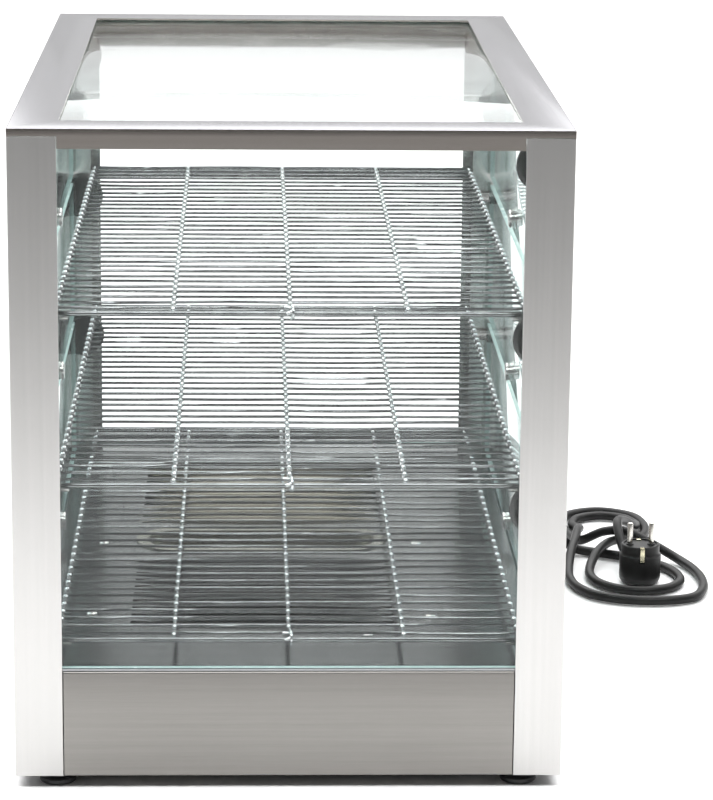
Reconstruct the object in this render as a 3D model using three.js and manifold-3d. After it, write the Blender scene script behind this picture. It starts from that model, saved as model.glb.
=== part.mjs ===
// Countertop hot food display case: stainless frame, glass ends and top, three glass flaps on each
// long side, three wire shelves, a heated base with a water tray, and a mains cord with its plug.
//
// Millimetres. +Z is up, the narrow ends face -Y (front) and +Y (rear), the long sides face -X
// (left) and +X (right). The origin is under the middle of the case, on the surface it stands on.

import * as THREE from "three";
import { mergeVertices } from "three/addons/utils/BufferGeometryUtils.js";
import Module from "manifold-3d";

const wasm = await Module();
wasm.setup();

// Overall
const CASE_WIDTH = 400;
const CASE_LENGTH = 670;
const CASE_HEIGHT = 488;

// Sheet metal and glass
const SHEET = 1.5;
const PANE = 4;
const GAP = 0.3; // clearance between neighbouring pieces

// Feet
const FOOT_HEIGHT = 9;
const FOOT_RADIUS = 13.5;
const FOOT_NECK_RADIUS = 9;
const FOOT_FROM_POST = 5; // from the post's inner edge back to the foot's axis
const FOOT_INSET_Y = 18;

// Frame
const POST_WIDTH = 35;
const POST_RETURN = 28; // inward flange that carries the flap pivots
const TOP_BORDER = 35;
const TOP_EDGE = 6; // height of the top frame's edge over the posts
const TOP_LIP = 15; // height of the same edge between the posts

// Base
const BASE_HEIGHT = 80;
const BASE_RETURN = 12;

// Flaps
const FLAP_LEVELS = ["top", "middle", "bottom"];
const FLAP_INSET = 9; // from the outer face to the glass
const PIVOT_INSET = 20; // from the outer face to the pivot axis
const PIVOT_DROP = 16.5; // from the top of the bay to the pivot axis
const FLAP_TOP_GAP = 4.5;
const FLAP_BOTTOM_GAP = 2.5;
const HUB_RADIUS = 19.4;
const HUB_THICKNESS = 8.2;
const HUB_CHEEK = 2.4;
const HUB_CHEEK_REACH = 12;
const HUB_CHEEK_HEIGHT = 18;
const PIVOT_PLATE = 3;
const PIVOT_PLATE_LENGTH = 26;
const PIVOT_PLATE_HEIGHT = 19;
const PIVOT_ARM_HEIGHT = 8;
const PIVOT_PIN_RADIUS = 2.5;
const KNOB_HEIGHT = 18; // knob axis above the bottom of the bay
const KNOB_BOLT_RADIUS = 3;
const KNOB_CAP_RADIUS = 7.5;
const KNOB_CAP_LENGTH = 6.3;
const KNOB_RADIUS = 9;
const KNOB_WAIST_RADIUS = 6;
const KNOB_LENGTH = 24; // from the glass to the knob's end

// Shelves
const LOW_SHELF_RISE = 18.2; // from the floor to the middle of the bottom shelf's cross wires
const SHELF_GAP = 29; // from the outer face to the shelf's edge
const SHELF_END_GAP = 21; // from the outer face to the shelf's end
const FRAME_WIRE = 4;
const RIB_WIRE = 3;
const RIB_COUNT = 3;
const CROSS_WIRE = 2;
const CROSS_WIRE_COUNT = 33;
const CROSS_WIRE_MARGIN = 9.8; // from the shelf's end to its first cross wire
const WIRE_BITE = 0.2; // depth of the weld where wires cross
const REST_RADIUS = 2.5; // of the rods and pegs that carry the shelves
const REST_PEG_START = 15; // from the case's outer face to a peg's outer end
const REST_PEG_LENGTH = 25;
const REST_PEG_WELD = 1.2; // depth of a peg's weld into the post's flange

// Floor
const HEAT_CENTRE_X = -19;
const HEAT_CENTRE_Y = 4;
const LOUVRE_LENGTH = 201;
const LOUVRE_WIDTH = 8;
const LOUVRE_PITCH = 18.6;
const LOUVRE_COUNT = 10;
const LOUVRE_START = 58; // from the tray's middle to the first louvre's middle
const TRAY_LENGTH = 188;
const TRAY_WIDTH = 48;
const TRAY_DEPTH = 28;
const TRAY_WALL = 1.2;
const TRAY_RIM = 9.5;
const TRAY_CLEARANCE = 1;

// Heater
const ELEMENT_RADIUS = 4;
const ELEMENT_HEIGHT = 42;
const ELEMENT_BEND = 40;
const ELEMENT_REACH_Y = 190;
const ELEMENT_REACH_X = 100;
const ELEMENT_STEPS = 36;

// Controls, on the right base panel
const KNOB_AXIS_HEIGHT = 50;
const THERMOSTAT_Y = -45;
const THERMOSTAT_RADIUS = 17;
const THERMOSTAT_DEPTH = 22;
const DIAL_RADIUS = 18;
const DIAL_LENGTH = 14;
const DIAL_BORE_DEPTH = 8;
const SHAFT_RADIUS = 3;
const SHAFT_CLEARANCE = 0.5;
const SWITCH_Y = 35;
const SWITCH_LENGTH = 30;
const SWITCH_WIDTH = 21;
const SWITCH_DEPTH = 18;
const SWITCH_BEZEL = 2.4;
const SWITCH_BEZEL_DEPTH = 2;
const ROCKER_LENGTH = 22;
const ROCKER_WIDTH = 13;
const ROCKER_CLEARANCE = 0.8;
const ROCKER_POCKET = 12;
const ROCKER_PROUD = 3;

// Mains cord
const CORD_RADIUS = 4.2;
const CORD_SIDES = 8;
const CORD_STEPS = 78;
const GLAND_INSET = 62; // from the case's rear end to the gland's axis
const GLAND_HEIGHT = 32;
const GLAND_FLANGE_RADIUS = 10;
const GLAND_NOSE_RADIUS = 6;
const GLAND_NECK_RADIUS = 7.5;
const GLAND_LENGTH = 32;
const GLAND_INNER_LENGTH = 14;
const PLUG_X = 320;
const PLUG_Y = 186;
const PLUG_RADIUS = 18.5;
const PLUG_FACE_RADIUS = 17;
const PLUG_HEIGHT = 36;
const PLUG_LIFT = 0.4;
const PLUG_BOOT_HEIGHT = 14;
const PLUG_BOOT_LENGTH = 36; // from the plug's axis to the boot's end
const PLUG_BOOT_RADIUS = 8;
const PLUG_BOOT_TURN = 100; // degrees from +X
const PIN_RADIUS = 2.4;
const PIN_SPACING = 19;
const PIN_LENGTH = 19;

const ROUND = 18; // sides of a round piece
const ROUND_SMALL = 10;

// Heights that follow
const HALF_WIDTH = CASE_WIDTH / 2;
const HALF_LENGTH = CASE_LENGTH / 2;
const BASE_TOP = FOOT_HEIGHT + BASE_HEIGHT;
const FLOOR_BOTTOM = BASE_TOP + GAP;
const FLOOR_TOP = FLOOR_BOTTOM + SHEET;
const TOP_EDGE_BOTTOM = CASE_HEIGHT - TOP_EDGE;
const LIP_BOTTOM = CASE_HEIGHT - TOP_LIP;
const POST_TOP = TOP_EDGE_BOTTOM - GAP;
const TOP_GLASS_TOP = CASE_HEIGHT - SHEET - GAP;
const TOP_GLASS_BOTTOM = TOP_GLASS_TOP - PANE;
const BAY_HEIGHT = (LIP_BOTTOM - FLOOR_TOP) / FLAP_LEVELS.length;
const INNER_X = HALF_WIDTH - SHEET - GAP; // what stands inside the sheet metal
const INNER_Y = HALF_LENGTH - SHEET - GAP;
const GLAND_Y = HALF_LENGTH - GLAND_INSET;

const steel = { color: 0xa8a5a2, roughness: 0.32, metalness: 1 };
const steelDark = { color: 0x8d8f90, roughness: 0.25, metalness: 1 };
const wire = { color: 0xb9bdc0, roughness: 0.25, metalness: 1 };
const glass = { color: 0xd7e6e4, roughness: 0.05, metalness: 0, transparent: true, opacity: 0.35 };
const blackPlastic = { color: 0x141413, roughness: 0.25, metalness: 0 };
const rubber = { color: 0x1c1c1d, roughness: 0.7, metalness: 0 };
const redPlastic = { color: 0xa3221a, roughness: 0.35, metalness: 0 };
const ceramic = { color: 0xd9d4c8, roughness: 0.6, metalness: 0 };

const displayCase = new THREE.Group();

// ---- Shapes -----------------------------------------------------------------------------------

function toSolid(geometry) {
  const bare = geometry.clone();
  bare.deleteAttribute("normal");
  bare.deleteAttribute("uv");
  const merged = mergeVertices(bare, 1e-4);
  const mesh = new wasm.Mesh({
    numProp: 3,
    vertProperties: new Float32Array(merged.attributes.position.array),
    triVerts: new Uint32Array(merged.index.array),
  });
  return new wasm.Manifold(mesh);
}

function toGeometry(solid) {
  const mesh = solid.getMesh();
  const geometry = new THREE.BufferGeometry();
  geometry.setAttribute("position", new THREE.BufferAttribute(mesh.vertProperties, 3));
  geometry.setIndex(new THREE.BufferAttribute(mesh.triVerts, 1));
  geometry.computeVertexNormals();
  return geometry;
}

function addPiece(name, solid, finish, parent = displayCase) {
  const mesh = new THREE.Mesh(toGeometry(solid), new THREE.MeshStandardMaterial(finish));
  mesh.name = name;
  parent.add(mesh);
  return mesh;
}

function block(x0, x1, y0, y1, z0, z1) {
  const geometry = new THREE.BoxGeometry(x1 - x0, y1 - y0, z1 - z0);
  geometry.translate((x0 + x1) / 2, (y0 + y1) / 2, (z0 + z1) / 2);
  return toSolid(geometry);
}

// A solid turned about an axis through the origin; the profile is [radius, distance along it].
function turned(profile, axis, sides = ROUND) {
  const points = profile.map(([radius, along]) => new THREE.Vector2(radius, along));
  const geometry = new THREE.LatheGeometry(points, sides);
  if (axis === "x") geometry.rotateZ(-Math.PI / 2);
  if (axis === "z") geometry.rotateX(Math.PI / 2);
  return toSolid(geometry);
}

function rod(axis, radius, from, to, sides = ROUND_SMALL) {
  return turned([[0, from], [radius, from], [radius, to], [0, to]], axis, sides);
}

// A flat outline in X and Y, raised from z0 to z1.
function raised(shape, z0, z1, curveSegments = 10) {
  const options = { depth: z1 - z0, bevelEnabled: false, curveSegments };
  const geometry = new THREE.ExtrudeGeometry(shape, options);
  geometry.translate(0, 0, z0);
  return toSolid(geometry);
}

function polygon(points) {
  return new THREE.Shape(points.map(([x, y]) => new THREE.Vector2(x, y)));
}

function rectangle(x0, x1, y0, y1) {
  return polygon([[x0, y0], [x1, y0], [x1, y1], [x0, y1]]);
}

// A rounded bar shape, length along X and width along Y.
function stadium(length, width, x, y) {
  const radius = width / 2;
  const reach = length / 2 - radius;
  const shape = new THREE.Shape();
  shape.absarc(x + reach, y, radius, -Math.PI / 2, Math.PI / 2, false);
  shape.absarc(x - reach, y, radius, Math.PI / 2, Math.PI * 1.5, false);
  return shape;
}

function joined(solids) {
  return solids.reduce((whole, solid) => whole.add(solid));
}

// ---- Frame and base ---------------------------------------------------------------------------

function postSolid() {
  const profile = polygon([
    [0, 0],
    [POST_WIDTH, 0],
    [POST_WIDTH, SHEET],
    [SHEET, SHEET],
    [SHEET, POST_WIDTH - SHEET],
    [POST_RETURN, POST_WIDTH - SHEET],
    [POST_RETURN, POST_WIDTH],
    [0, POST_WIDTH],
  ]);
  const belowFloor = block(
    SHEET, POST_RETURN + 1, SHEET + 1, POST_WIDTH + 1, FOOT_HEIGHT - 1, FLOOR_TOP + GAP,
  );
  return raised(profile, FOOT_HEIGHT, POST_TOP).subtract(belowFloor);
}

// The three pegs welded behind a front post's flange, one under a corner of each shelf.
function postPegs() {
  const y = POST_WIDTH - SHEET + REST_PEG_WELD - REST_RADIUS;
  const peg = rod("x", REST_RADIUS, REST_PEG_START, REST_PEG_START + REST_PEG_LENGTH);
  return joined(FLAP_LEVELS.map((_, i) => peg.translate([0, y, restHeight(i)])));
}

function addPosts() {
  const corners = [
    ["post_front_left", -1, -1],
    ["post_front_right", 1, -1],
    ["post_rear_left", -1, 1],
    ["post_rear_right", 1, 1],
  ];
  for (const [name, sideX, sideY] of corners) {
    const post = sideY < 0 ? postSolid().add(postPegs()) : postSolid();
    const solid = post.scale([-sideX, -sideY, 1]);
    addPiece(name, solid.translate([sideX * HALF_WIDTH, sideY * HALF_LENGTH, 0]), steel);
  }
}

function addTopFrame() {
  const outer = rectangle(-HALF_WIDTH, HALF_WIDTH, -HALF_LENGTH, HALF_LENGTH);
  const sheet = raised(outer, LIP_BOTTOM, CASE_HEIGHT);
  const lipX = HALF_WIDTH - SHEET;
  const lipY = HALF_LENGTH - SHEET;
  const under = block(-lipX, lipX, -lipY, lipY, LIP_BOTTOM - 1, CASE_HEIGHT - SHEET);
  const hole = block(
    -HALF_WIDTH + TOP_BORDER,
    HALF_WIDTH - TOP_BORDER,
    -HALF_LENGTH + TOP_BORDER,
    HALF_LENGTH - TOP_BORDER,
    LIP_BOTTOM,
    CASE_HEIGHT + 1,
  );
  let frame = sheet.subtract(under).subtract(hole);
  const notch = POST_WIDTH + GAP;
  for (const sideX of [-1, 1]) {
    for (const sideY of [-1, 1]) {
      const corner = block(
        -notch, notch, -notch, notch, LIP_BOTTOM - 1, TOP_EDGE_BOTTOM,
      ).translate([sideX * HALF_WIDTH, sideY * HALF_LENGTH, 0]);
      frame = frame.subtract(corner);
    }
  }
  addPiece("top_frame", frame, steel);
}

function addPanes() {
  const top = block(-INNER_X, INNER_X, -INNER_Y, INNER_Y, TOP_GLASS_BOTTOM, TOP_GLASS_TOP);
  addPiece("top_glass", top, glass);
  const bottom = FLOOR_TOP + GAP;
  const height = TOP_GLASS_BOTTOM - GAP;
  const front = block(-INNER_X, INNER_X, -INNER_Y, -INNER_Y + PANE, bottom, height);
  addPiece("front_glass", front, glass);
  const rear = block(-INNER_X, INNER_X, INNER_Y - PANE, INNER_Y, bottom, height);
  addPiece("rear_glass", rear, glass);
}

// A folded panel with a flange along its top and its bottom, facing -Y.
function basePanel(halfSpan) {
  const top = BASE_TOP;
  const wall = block(-halfSpan, halfSpan, 0, SHEET, FOOT_HEIGHT, top);
  const upper = block(-halfSpan, halfSpan, 0, BASE_RETURN, top - SHEET, top);
  const lower = block(-halfSpan, halfSpan, 0, BASE_RETURN, FOOT_HEIGHT, FOOT_HEIGHT + SHEET);
  return wall.add(upper).add(lower);
}

function addBase() {
  const endSpan = HALF_WIDTH - POST_WIDTH - GAP;
  const sideSpan = HALF_LENGTH - POST_WIDTH - GAP;
  const front = basePanel(endSpan).translate([0, -HALF_LENGTH, 0]);
  const rear = basePanel(endSpan).rotate([0, 0, 180]).translate([0, HALF_LENGTH, 0]);
  const left = basePanel(sideSpan).rotate([0, 0, -90]).translate([-HALF_WIDTH, 0, 0]);
  const right = basePanel(sideSpan).rotate([0, 0, 90]).translate([HALF_WIDTH, 0, 0]);
  const through = [HALF_WIDTH - SHEET - 1, HALF_WIDTH + 1];
  const shaftHole = rod("x", SHAFT_RADIUS + SHAFT_CLEARANCE, ...through).translate([
    0, THERMOSTAT_Y, KNOB_AXIS_HEIGHT,
  ]);
  const glandHole = rod("x", GLAND_NECK_RADIUS + GAP, ...through, ROUND).translate([
    0, GLAND_Y, GLAND_HEIGHT,
  ]);
  const switchHole = block(
    ...through,
    SWITCH_Y - SWITCH_LENGTH / 2 + SWITCH_BEZEL - GAP,
    SWITCH_Y + SWITCH_LENGTH / 2 - SWITCH_BEZEL + GAP,
    KNOB_AXIS_HEIGHT - SWITCH_WIDTH / 2 + SWITCH_BEZEL - GAP,
    KNOB_AXIS_HEIGHT + SWITCH_WIDTH / 2 - SWITCH_BEZEL + GAP,
  );
  addPiece("base_panel_front", front, steel);
  addPiece("base_panel_rear", rear, steel);
  addPiece("base_panel_left", left, steel);
  const pierced = right.subtract(shaftHole).subtract(glandHole).subtract(switchHole);
  addPiece("base_panel_right", pierced, steel);
}

function addFloor() {
  const outline = rectangle(-INNER_X, INNER_X, -INNER_Y, INNER_Y);
  const hole = stadium(
    TRAY_LENGTH + 2 * TRAY_CLEARANCE, TRAY_WIDTH + 2 * TRAY_CLEARANCE, HEAT_CENTRE_X, HEAT_CENTRE_Y,
  );
  outline.holes.push(new THREE.Path(hole.getPoints(10)));
  for (const side of [-1, 1]) {
    for (let i = 0; i < LOUVRE_COUNT; i += 1) {
      const y = HEAT_CENTRE_Y + side * (LOUVRE_START + i * LOUVRE_PITCH);
      const slot = rectangle(
        HEAT_CENTRE_X - LOUVRE_LENGTH / 2,
        HEAT_CENTRE_X + LOUVRE_LENGTH / 2,
        y - LOUVRE_WIDTH / 2,
        y + LOUVRE_WIDTH / 2,
      );
      outline.holes.push(new THREE.Path(slot.getPoints()));
    }
  }
  addPiece("floor_plate", raised(outline, FLOOR_BOTTOM, FLOOR_TOP), steelDark);
  const bottom = FOOT_HEIGHT + SHEET + GAP;
  addPiece(
    "bottom_plate",
    block(-INNER_X, INNER_X, -INNER_Y, INNER_Y, bottom, bottom + SHEET),
    steelDark,
  );
}

function addFeet() {
  const top = FOOT_HEIGHT - GAP;
  const profile = [
    [0, 0],
    [FOOT_RADIUS - 1, 0],
    [FOOT_RADIUS, 1],
    [FOOT_RADIUS, top / 2],
    [FOOT_NECK_RADIUS, top],
    [0, top],
  ];
  for (const [nameY, sideY] of [["front", -1], ["rear", 1]]) {
    for (const [nameX, sideX] of [["left", -1], ["right", 1]]) {
      const x = sideX * (HALF_WIDTH - POST_WIDTH + FOOT_FROM_POST);
      const y = sideY * (HALF_LENGTH - FOOT_INSET_Y);
      const foot = turned(profile, "z").translate([x, y, 0]);
      addPiece(`foot_${nameY}_${nameX}`, foot, rubber);
    }
  }
}

// ---- Flaps ------------------------------------------------------------------------------------

// One flap of the right side. Its hub is at the front end and its pivot plate at the rear end.
function addFlap(name, bayTop, parent) {
  const outerFace = HALF_WIDTH - FLAP_INSET;
  const innerFace = outerFace - PANE;
  const pivotX = HALF_WIDTH - PIVOT_INSET;
  const pivotZ = bayTop - PIVOT_DROP;
  const postFace = HALF_LENGTH - POST_WIDTH - GAP; // where the posts' flanges start
  const halfSpan = postFace - HUB_THICKNESS - GAP;
  const knobZ = bayTop - BAY_HEIGHT + KNOB_HEIGHT;
  const place = [0, 0, knobZ];

  const boltHole = rod("x", KNOB_BOLT_RADIUS + GAP, innerFace - 1, outerFace + 1).translate(place);
  const pane = block(
    innerFace,
    outerFace,
    -halfSpan,
    halfSpan,
    bayTop - BAY_HEIGHT + FLAP_BOTTOM_GAP,
    bayTop - FLAP_TOP_GAP,
  ).subtract(boltHole);
  addPiece(`${name}_glass`, pane, glass, parent);

  const disc = turned(
    [
      [0, -postFace],
      [HUB_RADIUS - 1.5, -postFace],
      [HUB_RADIUS, -postFace + 1.5],
      [HUB_RADIUS, -postFace + HUB_THICKNESS - 1.5],
      [HUB_RADIUS - 1.5, -postFace + HUB_THICKNESS],
      [0, -postFace + HUB_THICKNESS],
    ],
    "y",
  ).translate([pivotX, 0, pivotZ]);
  const cheekY = [-postFace + HUB_THICKNESS - 1, -halfSpan + HUB_CHEEK_REACH];
  const cheekTop = bayTop - FLAP_TOP_GAP;
  const cheekZ = [cheekTop - HUB_CHEEK_HEIGHT, cheekTop];
  const innerCheek = block(innerFace - GAP - HUB_CHEEK, innerFace - GAP, ...cheekY, ...cheekZ);
  const outerCheek = block(outerFace + GAP, outerFace + GAP + HUB_CHEEK, ...cheekY, ...cheekZ);
  addPiece(`${name}_hub`, disc.add(innerCheek).add(outerCheek), blackPlastic, parent);

  const plate = block(
    outerFace + GAP,
    outerFace + GAP + PIVOT_PLATE,
    halfSpan - PIVOT_PLATE_LENGTH + HUB_THICKNESS,
    halfSpan + GAP + PIVOT_PLATE,
    pivotZ - PIVOT_PLATE_HEIGHT / 2,
    pivotZ + PIVOT_PLATE_HEIGHT / 2 - 1,
  );
  const arm = block(
    pivotX - PIVOT_ARM_HEIGHT / 2,
    outerFace + GAP + PIVOT_PLATE,
    halfSpan + GAP,
    halfSpan + GAP + PIVOT_PLATE,
    pivotZ - PIVOT_ARM_HEIGHT / 2,
    pivotZ + PIVOT_ARM_HEIGHT / 2,
  );
  const pin = rod("y", PIVOT_PIN_RADIUS, halfSpan + GAP + 1, postFace).translate([pivotX, 0, pivotZ]);
  addPiece(`${name}_pivot`, plate.add(arm).add(pin), steel, parent);

  const knob = turned(
    [
      [0, innerFace - GAP - KNOB_CAP_LENGTH],
      [KNOB_CAP_RADIUS - 1, innerFace - GAP - KNOB_CAP_LENGTH],
      [KNOB_CAP_RADIUS, innerFace - GAP - KNOB_CAP_LENGTH + 1],
      [KNOB_CAP_RADIUS, innerFace - GAP],
      [KNOB_BOLT_RADIUS, innerFace - GAP],
      [KNOB_BOLT_RADIUS, outerFace + GAP],
      [KNOB_WAIST_RADIUS, outerFace + GAP],
      [KNOB_WAIST_RADIUS, outerFace + KNOB_LENGTH / 2],
      [KNOB_RADIUS, outerFace + KNOB_LENGTH * 0.7],
      [KNOB_RADIUS, outerFace + KNOB_LENGTH - 2],
      [KNOB_RADIUS - 2, outerFace + KNOB_LENGTH],
      [0, outerFace + KNOB_LENGTH],
    ],
    "x",
    ROUND_SMALL,
  ).translate(place);
  addPiece(`${name}_knob`, knob, steel, parent);
}

function addFlaps() {
  for (const side of ["right", "left"]) {
    const sideGroup = new THREE.Group();
    sideGroup.rotation.z = side === "left" ? Math.PI : 0;
    displayCase.add(sideGroup);
    FLAP_LEVELS.forEach((level, i) => {
      addFlap(`flap_${side}_${level}`, LIP_BOTTOM - i * BAY_HEIGHT, sideGroup);
    });
  }
}

// ---- Shelves ----------------------------------------------------------------------------------

// The middle of a shelf's cross wires. A shelf clears the hubs of the bay under it.
function shelfHeight(level) {
  if (level === FLAP_LEVELS.length - 1) return FLOOR_TOP + LOW_SHELF_RISE;
  const hubTop = LIP_BOTTOM - (level + 1) * BAY_HEIGHT - PIVOT_DROP + HUB_RADIUS;
  return hubTop + GAP + FRAME_WIRE - WIRE_BITE + CROSS_WIRE / 2;
}

function shelfSolid(height) {
  const halfWidth = HALF_WIDTH - SHELF_GAP;
  const halfLength = HALF_LENGTH - SHELF_END_GAP;
  const top = height - CROSS_WIRE / 2 + WIRE_BITE; // top of the frame wire
  const bottom = top - FRAME_WIRE;
  const frame = [];
  for (const side of [-1, 1]) {
    const x = side * (halfWidth - FRAME_WIRE / 2);
    frame.push(
      block(
        x - FRAME_WIRE / 2, x + FRAME_WIRE / 2, -halfLength, halfLength, bottom, top,
      ),
    );
    const y = side * (halfLength - FRAME_WIRE / 2);
    frame.push(
      block(-halfWidth, halfWidth, y - FRAME_WIRE / 2, y + FRAME_WIRE / 2, bottom, top),
    );
  }
  const ribPitch = (2 * halfWidth - FRAME_WIRE) / (RIB_COUNT + 1);
  for (let i = 0; i < RIB_COUNT; i += 1) {
    const x = (i - (RIB_COUNT - 1) / 2) * ribPitch;
    frame.push(
      block(
        x - RIB_WIRE / 2, x + RIB_WIRE / 2, -halfLength + 1, halfLength - 1, top - RIB_WIRE, top,
      ),
    );
  }
  const crossReach = halfLength - CROSS_WIRE_MARGIN;
  const crossPitch = (2 * crossReach) / (CROSS_WIRE_COUNT - 1);
  const cross = [];
  for (let i = 0; i < CROSS_WIRE_COUNT; i += 1) {
    const y = -crossReach + i * crossPitch;
    cross.push(
      block(
        -halfWidth + 1,
        halfWidth - 1,
        y - CROSS_WIRE / 2,
        y + CROSS_WIRE / 2,
        height - CROSS_WIRE / 2,
        height + CROSS_WIRE / 2,
      ),
    );
  }
  return joined(frame).add(joined(cross));
}

// The axis of the pegs and the rod that a shelf lies on.
function restHeight(level) {
  const frameBottom = shelfHeight(level) - CROSS_WIRE / 2 + WIRE_BITE - FRAME_WIRE;
  return frameBottom - GAP - REST_RADIUS;
}

function addShelves() {
  const restY = HALF_LENGTH - SHELF_END_GAP - FRAME_WIRE / 2;
  FLAP_LEVELS.forEach((level, i) => {
    addPiece(`shelf_${level}`, shelfSolid(shelfHeight(i)), wire);
    const rest = rod("x", REST_RADIUS, -INNER_X, INNER_X);
    addPiece(`shelf_rest_${level}_rear`, rest.translate([0, restY, restHeight(i)]), wire);
  });
}

// ---- Heater, tray and controls ----------------------------------------------------------------

function addTray() {
  const centre = [HEAT_CENTRE_X, HEAT_CENTRE_Y];
  const rimTop = FLOOR_TOP + GAP + TRAY_WALL;
  const bottom = FLOOR_TOP - TRAY_DEPTH;
  const rim = raised(
    stadium(TRAY_LENGTH + 2 * TRAY_RIM, TRAY_WIDTH + 2 * TRAY_RIM, ...centre),
    rimTop - TRAY_WALL,
    rimTop,
  );
  const body = raised(stadium(TRAY_LENGTH, TRAY_WIDTH, ...centre), bottom, rimTop);
  const hollow = raised(
    stadium(TRAY_LENGTH - 2 * TRAY_WALL, TRAY_WIDTH - 2 * TRAY_WALL, ...centre),
    bottom + TRAY_WALL,
    rimTop + 1,
  );
  addPiece("water_tray", rim.add(body).subtract(hollow), steel);
}

// A bent heater rod that runs round under both groups of louvres.
function addElement() {
  const path = new THREE.CurvePath();
  const x0 = HEAT_CENTRE_X - ELEMENT_REACH_X;
  const x1 = HEAT_CENTRE_X + ELEMENT_REACH_X;
  const y0 = HEAT_CENTRE_Y - ELEMENT_REACH_Y;
  const y1 = HEAT_CENTRE_Y + ELEMENT_REACH_Y;
  const at = (x, y) => new THREE.Vector3(x, y, ELEMENT_HEIGHT);
  path.add(new THREE.LineCurve3(at(x1, y0), at(x0 + ELEMENT_BEND, y0)));
  path.add(
    new THREE.QuadraticBezierCurve3(at(x0 + ELEMENT_BEND, y0), at(x0, y0), at(x0, y0 + ELEMENT_BEND)),
  );
  path.add(new THREE.LineCurve3(at(x0, y0 + ELEMENT_BEND), at(x0, y1 - ELEMENT_BEND)));
  path.add(
    new THREE.QuadraticBezierCurve3(at(x0, y1 - ELEMENT_BEND), at(x0, y1), at(x0 + ELEMENT_BEND, y1)),
  );
  path.add(new THREE.LineCurve3(at(x0 + ELEMENT_BEND, y1), at(x1, y1)));
  addPiece("heating_element", tube(path, ELEMENT_RADIUS, 8, ELEMENT_STEPS), steelDark);
}

// A round bar along a curve.
function tube(path, radius, sides, steps) {
  const points = [];
  for (let i = 0; i < sides; i += 1) {
    const angle = (2 * Math.PI * i) / sides;
    points.push([radius * Math.cos(angle), radius * Math.sin(angle)]);
  }
  const options = { steps, bevelEnabled: false, extrudePath: path };
  return toSolid(new THREE.ExtrudeGeometry(polygon(points), options));
}

function addControls() {
  const innerFace = HALF_WIDTH - SHEET - GAP;
  const place = [0, THERMOSTAT_Y, KNOB_AXIS_HEIGHT];
  const dialStart = HALF_WIDTH + GAP;
  const shaftEnd = dialStart + DIAL_BORE_DEPTH - GAP;
  const housing = rod("x", THERMOSTAT_RADIUS, innerFace - THERMOSTAT_DEPTH, innerFace, ROUND);
  const shaft = rod("x", SHAFT_RADIUS, innerFace - 1, shaftEnd);
  addPiece("thermostat", housing.add(shaft).translate(place), ceramic);

  const bore = SHAFT_RADIUS + GAP;
  const dial = turned(
    [
      [bore, dialStart],
      [DIAL_RADIUS, dialStart],
      [DIAL_RADIUS, dialStart + DIAL_LENGTH / 3],
      [DIAL_RADIUS - 3, dialStart + DIAL_LENGTH - 1],
      [DIAL_RADIUS - 4, dialStart + DIAL_LENGTH],
      [0, dialStart + DIAL_LENGTH],
      [0, dialStart + DIAL_BORE_DEPTH],
      [bore, dialStart + DIAL_BORE_DEPTH],
      [bore, dialStart],
    ],
    "x",
  ).translate(place);
  addPiece("thermostat_knob", dial, blackPlastic);

  const bodyHalf = [SWITCH_LENGTH / 2 - SWITCH_BEZEL, SWITCH_WIDTH / 2 - SWITCH_BEZEL];
  const bezel = block(
    HALF_WIDTH + GAP,
    HALF_WIDTH + GAP + SWITCH_BEZEL_DEPTH,
    -SWITCH_LENGTH / 2,
    SWITCH_LENGTH / 2,
    -SWITCH_WIDTH / 2,
    SWITCH_WIDTH / 2,
  );
  const body = block(
    HALF_WIDTH - SWITCH_DEPTH,
    HALF_WIDTH + GAP + 1,
    -bodyHalf[0],
    bodyHalf[0],
    -bodyHalf[1],
    bodyHalf[1],
  );
  const pocket = block(
    HALF_WIDTH - ROCKER_POCKET,
    HALF_WIDTH + GAP + SWITCH_BEZEL_DEPTH + 1,
    -ROCKER_LENGTH / 2 - ROCKER_CLEARANCE,
    ROCKER_LENGTH / 2 + ROCKER_CLEARANCE,
    -ROCKER_WIDTH / 2 - ROCKER_CLEARANCE,
    ROCKER_WIDTH / 2 + ROCKER_CLEARANCE,
  );
  const switchPlace = [0, SWITCH_Y, KNOB_AXIS_HEIGHT];
  const frame = bezel.add(body).subtract(pocket).translate(switchPlace);
  addPiece("switch_frame", frame, blackPlastic);

  const rockerFace = SWITCH_BEZEL_DEPTH + ROCKER_PROUD;
  const outline = polygon([
    [-4, -ROCKER_LENGTH * 0.2],
    [rockerFace - 3, -ROCKER_LENGTH / 2],
    [rockerFace, -ROCKER_LENGTH / 2],
    [rockerFace - 1.6, 0],
    [rockerFace, ROCKER_LENGTH / 2],
    [rockerFace - 3, ROCKER_LENGTH / 2],
    [-4, ROCKER_LENGTH * 0.2],
  ]);
  const rocker = raised(outline, -ROCKER_WIDTH / 2, ROCKER_WIDTH / 2).translate([
    HALF_WIDTH, SWITCH_Y, KNOB_AXIS_HEIGHT,
  ]);
  addPiece("switch_rocker", rocker, redPlastic);
}

// ---- Mains cord -------------------------------------------------------------------------------

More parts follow.
